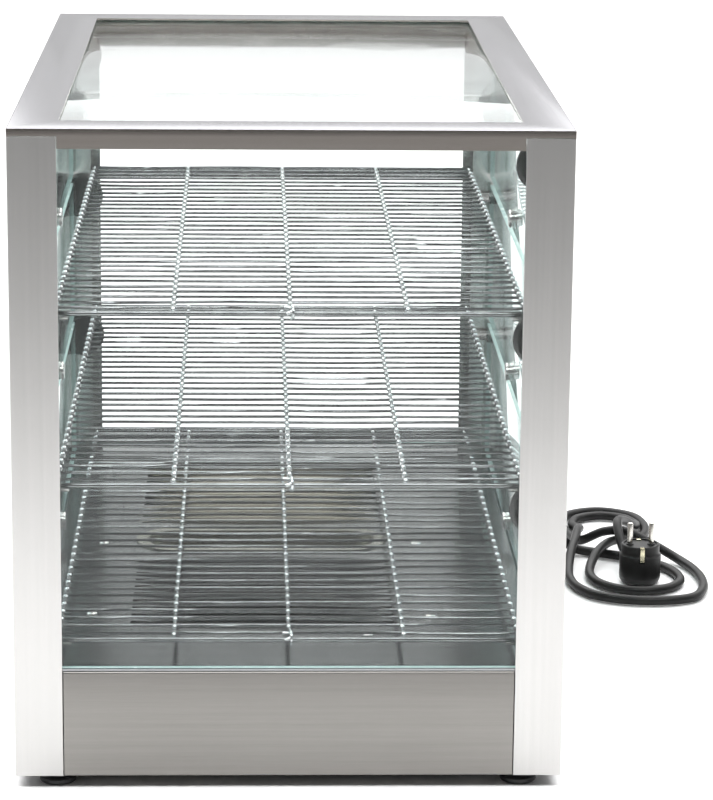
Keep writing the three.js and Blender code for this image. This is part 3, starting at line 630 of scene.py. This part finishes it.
def make_plug():
    """A moulded two-pin plug standing on its back, with earth clips in its sides and a ribbed boot."""
    pin_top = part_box("plug")[1].z
    axis_x, axis_y, top, boot_height = 0.320, 0.186, 0.036, 0.014
    body = turned(
        "plug_body",
        [
            (0.0135, 0.0004), (0.0165, 0.0012), (0.0182, 0.0044), (0.0185, 0.0075), (0.0183, 0.0150),
            (0.0185, 0.0225), (0.0185, 0.0262), (0.0174, 0.0276), (0.0170, 0.0286), (0.0170, top - 0.0008),
            (0.0162, top),
        ],
        place=(axis_x, axis_y, 0), sides=48,
    )
    for side in (-1, 1):
        slot_y = axis_y + side * 0.0172
        groove = added(
            "groove", "cube", size=1, location=(axis_x, slot_y, 0.0295), scale=(0.0052, 0.0034, 0.016),
        )
        cut(body, groove)
    recess = turned(
        "recess", [(0.0148, top - 0.0012), (0.0148, top + 0.004)], place=(axis_x, axis_y, 0), sides=48,
    )
    cut(body, recess)
    soften(body, 0.0003, 1, 40)

    def ring(at, radius, width):
        return turned(
            "ring", [(radius - 0.0006, at), (radius, at + 0.0006), (radius, at + width - 0.0006),
                     (radius - 0.0006, at + width)], axis="x", sides=28,
        )

    boot = turned(
        "boot",
        [(0.0088, 0.012), (0.0088, 0.0185), (0.0080, 0.021), (0.0066, 0.0225), (0.0053, 0.0352),
         (0.0049, 0.0361)],
        axis="x", sides=28,
    )
    rings = [ring(0.0225 + 0.0034 * i, 0.0077 - 0.0007 * i, 0.002) for i in range(4)]
    boot = joined("boot", [boot, *rings])
    boot.rotation_euler = (0, 0, math.radians(100))
    boot.location = (axis_x, axis_y, boot_height)
    settle(boot)
    body = joined("plug_body", [body, boot])
    done(body, PLUG_BLACK, "case", "black_rubber", "plug")

    pins = []
    for side in (-1, 1):
        pins.append(
            turned(
                "pin",
                [(0.0023, top - 0.002), (0.0024, top - 0.001), (0.0024, pin_top - 0.0012),
                 (0.0021, pin_top - 0.0004), (0.0014, pin_top)],
                place=(axis_x + side * 0.0095, axis_y, 0), sides=24,
            )
        )
    pins = done(joined("plug_pins", pins), PIN_STEEL, "case", "polished_steel")

    sleeves = []
    for side in (-1, 1):
        sleeves.append(
            turned(
                "sleeve", [(0.0034, top - 0.0014), (0.0034, top - 0.0002), (0.0030, top)],
                place=(axis_x + side * 0.0095, axis_y, 0), sides=24,
            )
        )
    sleeves = done(joined("plug_pin_collars", sleeves), MATT_BLACK, "case", "black_plastic")

    clips = []
    for side in (-1, 1):
        clips.append(
            block(
                "clip",
                (axis_x - 0.0020, axis_y + side * 0.0166 - 0.0007, 0.0225),
                (axis_x + 0.0020, axis_y + side * 0.0166 + 0.0007, top - 0.0002),
                0.0004,
            )
        )
        inward = sorted((axis_y + side * 0.0172, axis_y + side * 0.0120))
        clips.append(
            block(
                "clip_top",
                (axis_x - 0.0020, inward[0], top - 0.0011),
                (axis_x + 0.0020, inward[1], top - 0.0002),
                0.0003,
            )
        )
    clips = done(joined("plug_earth_clips", clips), BRASS, "case", "polished_steel")
    return [body, pins, sleeves, clips]


def make_gland():
    """The tapered, grooved strain relief in the right base panel."""
    low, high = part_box("cord_gland")
    centre = (low + high) / 2
    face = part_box("base_panel_right")[1].x
    profile = [(0.0072, -0.0135), (0.0075, -0.013), (0.0075, 0.0003), (0.0094, 0.0003), (0.0100, 0.0009),
               (0.0100, 0.0036), (0.0094, 0.0043), (0.0078, 0.0052)]
    nose, along = 0.0076, 0.0052
    while along < 0.027:
        profile += [(nose, along + 0.0008), (nose - 0.0003, along + 0.0026), (nose - 0.0014, along + 0.0029),
                    (nose - 0.0014, along + 0.0040), (nose - 0.0003, along + 0.0043)]
        nose -= 0.00035
        along += 0.0043
    profile += [(0.0061, high.x - face - 0.0006), (0.0056, high.x - face)]
    gland = turned("strain_relief", profile, axis="x", place=(face, centre.y, centre.z), sides=32)
    return done(gland, MATT_BLACK, "case", "black_plastic", "cord_gland")


mains_lead = make_cord()
plug_pieces = make_plug()
strain_relief = make_gland()


# ---- Frame and base ------------------------------------------------------------------------------

SHEET = 0.0015
HALF_WIDTH = 0.2
HALF_LENGTH = 0.335
DRILL_X = 0.199  # a drill for the right base panel is centred in its wall
POST_WIDTH = 0.035
LEVELS = ("top", "middle", "bottom")
REST_RADIUS = 0.0025
PEG_ENDS = (0.160, 0.185)
PEG_Y = -0.3028


def rest_rod(name, start, end, y, level):
    """A rod along X, just under one shelf."""
    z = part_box(f"shelf_{level}")[0].z - 0.0003 - REST_RADIUS
    thin = REST_RADIUS - 0.0006
    profile = [(thin, start), (REST_RADIUS, start + 0.0006), (REST_RADIUS, end - 0.0006), (thin, end)]
    return turned(name, profile, axis="x", place=(0, y, z), sides=20)


def make_top_frame():
    low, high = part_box("top_frame")
    border, edge, lip, notch = 0.035, 0.006, high.z - low.z, 0.0353
    size = high - low
    top = folded("top_cover", (0, 0, high.z), (0, 0, 0), (size.x, size.y), [], (0, 0, 1))
    shape(top)
    bpy.ops.mesh.select_all(action="SELECT")
    bpy.ops.mesh.inset(thickness=border)
    bpy.ops.mesh.delete(type="FACE")
    pick("EDGE", lambda middle, e: near(abs(middle.x), high.x) or near(abs(middle.y), high.y))
    extrude((0, 0, -edge))
    extrude((0, 0, edge - lip))
    for axis, reach in ((0, high.x - notch), (1, high.y - notch)):
        for side in (-1, 1):
            pick("FACE", lambda middle, normal: middle.z < high.z - edge)
            spot, way = [0, 0, 0], [0, 0, 0]
            spot[axis], way[axis] = side * reach, 1
            bpy.ops.mesh.bisect(plane_co=spot, plane_no=way)
    pick(
        "FACE",
        lambda middle, normal: middle.z < high.z - edge and abs(middle.x) > high.x - notch
        and abs(middle.y) > high.y - notch,
    )
    bpy.ops.mesh.delete(type="FACE")
    clear()
    thicken(top, SHEET, 0.0012)
    top.data.materials.append(TOP_FACE_SHADED_STEEL.material)
    top.data.materials.append(LIP_LIT_STEEL.material)
    # Upward faces take the painted-shade colour, the lip faces the painted-light colour.
    for face in top.data.polygons:
        face.material_index = 0 if face.normal.z > 0.5 else 1
    done(top, TOP_FACE_SHADED_STEEL, "case", "brushed_steel", "top_frame")


def make_post(node):
    low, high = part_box(node)
    side_x = 1 if low.x > 0 else -1
    side_y = 1 if low.y > 0 else -1
    outer_x, outer_y = side_x * HALF_WIDTH, side_y * HALF_LENGTH
    width, flange, floor_top = POST_WIDTH, 0.028, 0.0911
    post = folded(
        node.replace("post", "corner_post"),
        (outer_x - side_x * width / 2, outer_y, (low.z + high.z) / 2),
        (math.pi / 2, 0, 0),
        (width, high.z - low.z),
        [(lambda middle: near(middle.x, outer_x), [(0, -side_y * width, 0), (-side_x * flange, 0, 0)])],
        (0, side_y, 0),
    )
    inner_y = outer_y - side_y * width
    shape(post)
    pick("FACE", lambda middle, normal: near(middle.y, inner_y))
    bpy.ops.mesh.bisect(plane_co=(0, 0, floor_top), plane_no=(0, 0, 1))
    pick("FACE", lambda middle, normal: near(middle.y, inner_y) and middle.z < floor_top)
    bpy.ops.mesh.delete(type="FACE")
    thicken(post, SHEET, 0.0016)
    if side_y < 0:
        start, end = sorted(side_x * reach for reach in PEG_ENDS)
        pegs = [rest_rod("peg", start, end, PEG_Y, level) for level in LEVELS]
        post = joined(post.name, [post, *pegs])
    done(post, POST_STEEL, "case", "brushed_steel", node)


def make_base_panel(node, finish):
    low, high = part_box(node)
    centre = (low + high) / 2
    along_x = high.x - low.x > high.y - low.y
    gap, fold = 0.0004, 0.012
    if along_x:
        side = 1 if centre.y > 0 else -1
        place, turn = (0, side * HALF_LENGTH, centre.z), (math.pi / 2, 0, 0)
        span, inward, normal = high.x - low.x, (0, -side * fold, 0), (0, side, 0)
    else:
        side = 1 if centre.x > 0 else -1
        place, turn = (side * HALF_WIDTH, 0, centre.z), (math.pi / 2, 0, math.pi / 2)
        span, inward, normal = high.y - low.y, (-side * fold, 0, 0), (side, 0, 0)
    panel = folded(
        node.replace("base_panel", "base_side"), place, turn, (span - 2 * gap, high.z - low.z),
        [(lambda middle: near(middle.z, high.z), [inward]), (lambda middle: near(middle.z, low.z), [inward])],
        normal,
    )
    thicken(panel, SHEET, 0.0014)
    if node == "base_panel_right":
        gland_low, gland_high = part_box("cord_gland")
        gland = (gland_low + gland_high) / 2
        dial_low, dial_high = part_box("thermostat_knob")
        dial = (dial_low + dial_high) / 2
        for radius, y, z in ((0.0036, dial.y, dial.z), (0.0078, gland.y, gland.z)):
            cut(
                panel,
                added(
                    "drill", "cylinder", vertices=32, radius=radius, depth=0.01, location=(DRILL_X, y, z),
                    rotation=(0, math.pi / 2, 0),
                ),
            )
        switch_low, switch_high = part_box("switch_frame")
        opening = switch_high - switch_low - Vector((0, 0.0044, 0.0044))
        switch = (switch_low + switch_high) / 2
        cut(
            panel,
            added(
                "drill", "cube", size=1, location=(DRILL_X, switch.y, switch.z),
                scale=(0.01, opening.y, opening.z),
            ),
        )
        smooth(panel)
    done(panel, finish, "case", "brushed_steel", node)


def make_foot(node):
    low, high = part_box(node)
    centre = (low + high) / 2
    tall = high.z - low.z
    foot = turned(
        node.replace("foot", "rubber_foot"),
        [(0.0118, 0), (0.0130, 0.0004), (0.0135, 0.0013), (0.0135, tall * 0.42), (0.0129, tall * 0.5),
         (0.0104, tall * 0.62), (0.0092, tall * 0.9), (0.0090, tall)],
        place=(centre.x, centre.y, low.z), sides=36,
    )
    done(foot, MATT_BLACK, "case", "black_rubber", node)


make_top_frame()
for node in ("post_front_left", "post_front_right", "post_rear_left", "post_rear_right"):
    make_post(node)
make_base_panel("base_panel_front", END_PANEL_SHADED_STEEL)
make_base_panel("base_panel_rear", END_PANEL_SHADED_STEEL)
make_base_panel("base_panel_left", SIDE_PANEL_LIT_STEEL)
make_base_panel("base_panel_right", SIDE_PANEL_LIT_STEEL)
for node in ("foot_front_left", "foot_front_right", "foot_rear_left", "foot_rear_right"):
    make_foot(node)
dressed("floor_plate", FLOOR_STEEL)
# The bottom plate's near-black colour is painted shade under the case.
dressed("bottom_plate", UNDER_SHADED_STEEL)


# ---- Glass ---------------------------------------------------------------------------------------

def make_pane(node, name, body, across, finish):
    """A pane with arrised edges. Its two wide faces are clear and its edges are green."""
    low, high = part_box(node)
    pane = block(name, low, high, 0.0006, 2)
    pane.data.materials.append(finish.material)
    pane.data.materials.append(GLASS_RIM.material)
    for face in pane.data.polygons:
        face.material_index = 0 if abs(face.normal[across]) > 0.99 else 1
    done(pane, finish, body, "clear_glass", node)


make_pane("top_glass", "top_pane", "case", 2, GLASS)
make_pane("front_glass", "front_pane", "case", 1, GLASS)
make_pane("rear_glass", "rear_pane", "case", 1, GLASS)

# ---- Shelves -------------------------------------------------------------------------------------

RIBS = (-0.0845, 0.0, 0.0845)


def cross_wire(name, length, radius, bows):
    """One thin wire along X, through the origin, bowed a little between the ribs."""
    rings = 16
    wire = added(
        name, "circle", vertices=6, radius=radius, fill_type="NGON", location=(-length / 2, 0, 0),
        rotation=(0, math.pi / 2, 0),
    )
    shape(wire)
    bpy.ops.mesh.select_all(action="SELECT")
    for _ in range(rings):
        extrude((length / rings, 0, 0))
    for i, (lift, sway) in enumerate(bows):
        for ring, share in ((4 * i + 1, 0.7), (4 * i + 2, 1.0), (4 * i + 3, 0.7)):
            pick("VERT", lambda spot, normal: near(spot.x, -length / 2 + length * ring / rings, 1e-4))
            bpy.ops.transform.translate(value=(0, sway * share, lift * share))
    clear()
    outward(wire)
    return wire


def make_shelf(node, seed):
    """A plated wire shelf: a bent frame, three ribs, cross wires welded at each crossing, and a hook."""
    chance = random.Random(seed)
    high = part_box(node)[1]
    frame_radius, rib_radius, wire_radius = 0.0020, 0.0016, 0.0012
    wire_z = high.z - wire_radius
    frame_z = wire_z - wire_radius - frame_radius + 0.0005
    rib_z = wire_z - wire_radius - rib_radius + 0.0005
    x, y, bend = high.x - frame_radius, high.y - frame_radius, 0.007
    straight_x, straight_y = 2 * (x - bend), 2 * (y - bend)
    corner = (math.pi / 2, bend, (0, 0, 1))
    rim = bent_rod(
        "rim", frame_radius, (-x + bend, -y, frame_z), (1, 0, 0),
        2 * [straight_x, corner, straight_y, corner], sides=10, closed=True,
    )
    parts = [rim]
    for rib_x in RIBS:
        rib = turned("rib", [(rib_radius, -y), (rib_radius, y)], axis="y", place=(rib_x, 0, rib_z), sides=8)
        parts.append(rib)
    reach = y + frame_radius - 0.0098
    patterns = []
    for i in range(6):
        bows = [(chance.uniform(-0.0006, 0.0004), chance.uniform(-0.0006, 0.0006)) for _ in range(4)]
        patterns.append(cross_wire("pattern", 2 * (high.x - 0.0006), wire_radius, bows))
    weld = added("weld", "uv_sphere", segments=8, ring_count=5, radius=1, scale=(0.0024, 0.0031, 0.0019))
    smooth(weld, 80)
    for i in range(33):
        wire_y = -reach + 2 * reach * i / 32
        parts.append(copied(chance.choice(patterns), "wire", (0, wire_y, wire_z)))
        for weld_x in (-x, *RIBS, x):
            parts.append(copied(weld, "weld", (weld_x, wire_y, wire_z - 0.0009)))
    for pattern in patterns:
        bpy.data.objects.remove(pattern)
    bpy.data.objects.remove(weld)
    hook = bent_rod(
        "hook", 0.0013, (0.0002, -y + 0.013, rib_z + 0.0036), (0.12, -1, 0.10),
        [0.009, (math.radians(235), 0.0048, (1, 0.12, 0)), 0.003], sides=10,
    )
    tail = bent_rod(
        "tail", 0.0013, (-0.0044, -y + 0.006, rib_z + 0.0030), (1, -0.35, 0),
        [0.004, (math.radians(150), 0.0034, (0.25, 0.4, -1)), 0.002], sides=10,
    )
    parts += [hook, tail]
    for part in parts:
        # Ribs, welds, hook and tail take the bright copy as painted highlight; the frame and cross wires the
        # dark copy as painted shade.
        bright = part.name.startswith(("rib", "weld", "hook", "tail"))
        part.data.materials.append((HIGHLIGHT_ZINC if bright else SHADED_WIRE).material)
    shelf = joined(node + "_wires", parts)
    smooth(shelf, 60)
    done(shelf, SHADED_WIRE, node, "shelf_wire", node)


for seed, node in enumerate(("shelf_top", "shelf_middle", "shelf_bottom")):
    make_shelf(node, seed + 3)
for level in LEVELS:
    node = f"shelf_rest_{level}_rear"
    low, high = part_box(node)
    rod = rest_rod(node + "_rod", low.x, high.x, (low.y + high.y) / 2, level)
    done(rod, SHADED_WIRE, "case", "shelf_wire", node)


# ---- Floor, louvres, tray and heater -------------------------------------------------------------

FLOOR_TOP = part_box("floor_plate")[1].z
HEAT_X, HEAT_Y = -0.019, 0.004


def pan_screw(name, radius=0.0042, tall=0.0022):
    """A cross-recessed pan head standing on the origin."""
    head = turned(
        name,
        [(radius, 0), (radius, tall * 0.35), (radius * 0.9, tall * 0.7), (radius * 0.66, tall * 0.93),
         (radius * 0.3, tall)],
        sides=24,
    )
    for turn in (0, math.pi / 2):
        bit = added("bit", "cube", size=1, location=(0, 0, tall), rotation=(0, 0, turn),
                    scale=(radius * 1.1, radius * 0.22, tall * 0.9))
        cut(head, bit)
    smooth(head, 30)
    return head


def make_louvres():
    """Pressed half lens hoods over the slots. Each group is open towards its own end of the case."""
    length, depth, tall = 0.203, 0.0100, 0.0041
    hood = added(
        "hood", "uv_sphere", segments=20, ring_count=28, radius=1, rotation=(0, math.pi / 2, 0),
    )
    hood.scale = (length / 2, depth, tall)
    settle(hood)
    shape(hood)
    bpy.ops.mesh.select_all(action="SELECT")
    bpy.ops.mesh.bisect(plane_co=(0, 0, 0), plane_no=(0, 0, 1), clear_inner=True)
    bpy.ops.mesh.select_all(action="SELECT")
    bpy.ops.mesh.bisect(plane_co=(0, 0.0001, 0), plane_no=(0, 1, 0), clear_inner=True)
    clear()
    modify(hood, "SOLIDIFY", thickness=0.0007, offset=-1)
    smooth(hood, 40)
    back = copied(hood, "back")
    back.rotation_euler = (0, 0, math.pi)
    settle(back)
    front_hoods, rear_hoods = [], []
    for i in range(10):
        rise = 0.058 + 0.0186 * i
        front_hoods.append(copied(hood, "front_hood", (HEAT_X, HEAT_Y - rise - 0.0046, FLOOR_TOP - 0.0001)))
        rear_hoods.append(copied(back, "rear_hood", (HEAT_X, HEAT_Y + rise + 0.0046, FLOOR_TOP - 0.0001)))
    bpy.data.objects.remove(hood)
    bpy.data.objects.remove(back)
    done(joined("front_louvres", front_hoods), FLOOR_STEEL, "case", "brushed_steel")
    # The rear hoods' dark gold colour is a painted warm reflection.
    done(joined("rear_louvres", rear_hoods), WARM_REFLECTION_STEEL, "case", "brushed_steel")


def make_tray():
    """An oval tray pressed from sheet: a flat rim, straight walls and a rounded bottom."""
    low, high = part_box("water_tray")
    wall, rim = 0.0012, 0.0095
    radius = (high.y - low.y) / 2
    reach = (high.x - low.x) / 2 - radius
    tray = added("oval_tray", "circle", vertices=64, radius=radius, fill_type="NGON",
                 location=(HEAT_X, HEAT_Y, high.z), rotation=(0, 0, math.pi / 64))
    shape(tray)
    for side in (-1, 1):
        pick("VERT", lambda spot, normal: (spot.x - HEAT_X) * side > 0)
        bpy.ops.transform.translate(value=(side * reach, 0, 0))
    bpy.ops.mesh.select_mode(type="FACE")
    bpy.ops.mesh.select_all(action="SELECT")
    bpy.ops.mesh.inset(thickness=rim - 0.0008)
    for sink, pinch in (
        (0.0004, 0.0008), (0.0008, 0.0004), (0.0203, 0.0006), (0.0050, 0.0022), (0.0018, 0.0034),
    ):
        extrude((0, 0, -sink))
        bpy.ops.mesh.inset(thickness=pinch)
    bpy.ops.mesh.inset(thickness=0.004)
    clear()
    modify(tray, "SOLIDIFY", thickness=wall, offset=-1)
    smooth(tray, 40)
    done(tray, TRAY_STEEL, "water_tray", "polished_steel", "water_tray")


make_louvres()
make_tray()
screw = pan_screw("floor_screw")
screws = [
    copied(screw, "floor_screw", (x * MM, y * MM, FLOOR_TOP))
    for x, y in ((-148.5, -7), (-149.5, -201), (-100.5, -252.5), (108.7, -8), (109.9, -207.8), (60.2, -254.6),
                 (-148.5, 214), (-100.5, 262), (109.9, 214), (60.2, 262))
]
bpy.data.objects.remove(screw)
done(joined("floor_screws", screws), TURNED_STEEL, "case", "polished_steel")

low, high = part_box("heating_element")
bar = (high.z - low.z) / 2
heater = bent_rod(
    "heater_bar", bar, (high.x, low.y + bar, (low.z + high.z) / 2), (-1, 0, 0),
    [high.x - low.x - bar - 0.04, (math.pi / 2, 0.04, (0, 0, -1)), high.y - low.y - 2 * bar - 0.08,
     (math.pi / 2, 0.04, (0, 0, -1)), high.x - low.x - bar - 0.04],
    sides=16,
)
done(heater, HEATER_STEEL, "case", "heater_steel", "heating_element")


# ---- Controls ------------------------------------------------------------------------------------

def from_solid(node, name, width):
    """A rounded copy of a CAD node's own shape."""
    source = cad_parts[node]
    piece = source.copy()
    piece.data = source.data.copy()
    for key in list(piece.keys()):
        del piece[key]
    piece.parent = None
    piece.rotation_mode = "XYZ"
    piece.name = piece.data.name = name
    piece.data.materials.clear()
    bpy.context.scene.collection.objects.link(piece)
    piece.hide_render = piece.hide_viewport = False
    outward(piece)
    modify(piece, "DECIMATE", decimate_type="DISSOLVE", angle_limit=math.radians(1))
    soften(piece, width, 2, 30)
    return piece


def make_dial():
    """A thermostat dial: a skirt with ticks, a fluted grip and a pointer."""
    low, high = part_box("thermostat_knob")
    centre = (low + high) / 2
    deep = high.x - low.x
    dial = turned(
        "dial",
        [(0.0172, 0), (0.0178, 0.0004), (0.0180, 0.0012), (0.0180, 0.0026), (0.0172, 0.0036),
         (0.0134, 0.0042), (0.0131, 0.0050), (0.0126, deep - 0.0012),
         (0.0118, deep - 0.0003), (0.0108, deep)],
        axis="x", place=(low.x, centre.y, centre.z), sides=60,
    )
    grip_middle = low.x + (0.0050 + deep - 0.0012) / 2

    def in_flute(middle, normal):
        """True for every third face round the grip."""
        angle = math.atan2(middle.y - centre.y, middle.z - centre.z) % (2 * math.pi)
        on_grip = near(middle.x, grip_middle, 0.0008) and abs(normal.x) < 0.3
        return on_grip and round(angle / (math.pi / 30) - 0.5) % 3 == 0

    shape(dial)
    pick("FACE", in_flute)
    bpy.ops.mesh.extrude_faces_move(TRANSFORM_OT_shrink_fatten={"value": -0.0006})
    clear()
    smooth(dial, 25)
    done(dial, GLOSS_BLACK, "thermostat_knob", "black_plastic", "thermostat_knob")
    marks = [
        block(
            "pointer",
            (high.x - 0.0006, centre.y - 0.0006, centre.z + 0.0030),
            (high.x + 0.0002, centre.y + 0.0006, centre.z + 0.0105),
            0.0002,
            1,
        )
    ]
    for i in range(11):
        angle = math.radians(-135 + 27 * i)
        tick = added(
            "tick", "cube", size=1, location=(low.x + 0.0037, 0, 0.0156), scale=(0.0006, 0.0006, 0.0022),
        )
        tick.rotation_euler = (-angle, 0, 0)
        settle(tick)
        tick.location = (0, centre.y, centre.z)
        settle(tick)
        marks.append(tick)
    done(joined("dial_marks", marks), CERAMIC, "thermostat_knob", "black_plastic")


make_dial()
done(from_solid("switch_frame", "switch_bezel", 0.0004), GLOSS_BLACK, "case", "black_plastic", "switch_frame")
rocker = from_solid("switch_rocker", "rocker", 0.0004)
done(rocker, RED_PLASTIC, "switch_rocker", "red_plastic", "switch_rocker")
dressed("thermostat", CERAMIC)


# ---- Flaps ---------------------------------------------------------------------------------------

def make_hub():
    """The moulded hub of the top right flap: a disc with a sunk face, and two cheeks that grip the pane."""
    low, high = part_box("flap_right_top_hub")
    glass_low, glass_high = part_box("flap_right_top_glass")
    radius, thick = (high.x - low.x) / 2, 0.0082
    axis_x, axis_z = (low.x + high.x) / 2, low.z + radius
    disc = turned(
        "disc",
        [(radius - 0.0052, 0.0012), (radius - 0.0044, 0.0002), (radius - 0.0016, 0),
         (radius - 0.0005, 0.0005), (radius, 0.0016), (radius, thick - 0.0016),
         (radius - 0.0005, thick - 0.0005), (radius - 0.0016, thick), (radius - 0.0044, thick - 0.0002),
         (radius - 0.0052, thick - 0.0012)],
        axis="y", place=(axis_x, low.y, axis_z), sides=56,
    )
    cheek_y = (low.y + thick - 0.001, glass_low.y + 0.012)
    cheek_z = (glass_high.z - 0.018, glass_high.z)
    cheeks = [
        block("cheek", (start, cheek_y[0], cheek_z[0]), (end, cheek_y[1], cheek_z[1]), 0.0008, 3)
        for start, end in (
            (glass_low.x - 0.0027, glass_low.x - 0.0003), (glass_high.x + 0.0003, glass_high.x + 0.0027),
        )
    ]
    return joined("hub", [disc, *cheeks])


def make_pivot():
    """The clamp and pin at the other end of the pane."""
    plate = from_solid("flap_right_top_pivot", "pivot", 0.0004)
    low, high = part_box("flap_right_top_pivot")
    glass_low, glass_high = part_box("flap_right_top_glass")
    middle_z = (low.z + high.z) / 2
    heads = []
    for y in (glass_high.y - 0.004, glass_high.y - 0.013):
        head = pan_screw("clamp_screw", 0.0026, 0.0011)
        head.rotation_euler = (0, -math.pi / 2, 0)
        head.location = (glass_low.x, y, middle_z)
        settle(head)
        heads.append(head)
    return plate, joined("clamp_screws", heads)


def make_knob():
    """A turned pull with a waist, its bolt through the pane and a ringed cap inside."""
    glass_low, glass_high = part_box("flap_right_top_glass")
    low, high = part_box("flap_right_top_knob")
    inside, outside, end = glass_low.x - 0.0003, glass_high.x + 0.0003, high.x
    middle_z = (low.z + high.z) / 2
    cap = turned(
        "cap",
        [(0.0062, low.x), (0.0070, low.x + 0.0004), (0.0075, low.x + 0.0012), (0.0075, low.x + 0.0022),
         (0.0070, low.x + 0.0026), (0.0070, low.x + 0.0032), (0.0075, low.x + 0.0036), (0.0075, inside)],
        axis="x", place=(0, 0, middle_z), sides=36,
    )
    on_axis = {"axis": "x", "place": (0, 0, middle_z)}
    washer = turned("washer", [(0.0083, inside - 0.0003), (0.0083, inside + 0.0003)], sides=36, **on_axis)
    bolt = turned("bolt", [(0.003, inside - 0.001), (0.003, outside + 0.001)], sides=20, **on_axis)
    pull = turned(
        "pull",
        [(0.0066, outside), (0.0068, outside + 0.0008), (0.0060, outside + 0.0022),
         (0.0058, outside + 0.0070), (0.0062, outside + 0.0110), (0.0074, outside + 0.0138),
         (0.0086, outside + 0.0158), (0.0090, outside + 0.0176), (0.0090, end - 0.0022),
         (0.0086, end - 0.0010), (0.0076, end - 0.0002), (0.0060, end)],
        axis="x", place=(0, 0, middle_z), sides=40,
    )
    return joined("knob", [cap, washer, bolt, pull])


def make_flaps():
    hub, (pivot, clamp), knob = make_hub(), make_pivot(), make_knob()
    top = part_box("flap_right_top_glass")[0].z
    for side in ("right", "left"):
        for level in ("top", "middle", "bottom"):
            body = f"flap_{side}_{level}"
            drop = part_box(f"flap_right_{level}_glass")[0].z - top
            make_pane(f"{body}_glass", f"{body}_pane", body, 0, SIDE_GLASS)
            for pattern, part, finish, slot, nodes in (
                (hub, "disc_hub", GLOSS_BLACK, "black_plastic", [f"{body}_hub"]),
                (pivot, "pivot_clamp", TURNED_STEEL, "brushed_steel", [f"{body}_pivot"]),
                (clamp, "clamp_screws", GLOSS_BLACK, "black_plastic", []),
                (knob, "pull_knob", TURNED_STEEL, "polished_steel", [f"{body}_knob"]),
            ):
                piece = copied(pattern, f"{body}_{part}", (0, 0, drop))
                if side == "left":
                    piece.rotation_euler = (0, 0, math.pi)
                    settle(piece)
                done(piece, finish, body, slot, *nodes)
    for pattern in (hub, pivot, clamp, knob):
        bpy.data.objects.remove(pattern)


make_flaps()
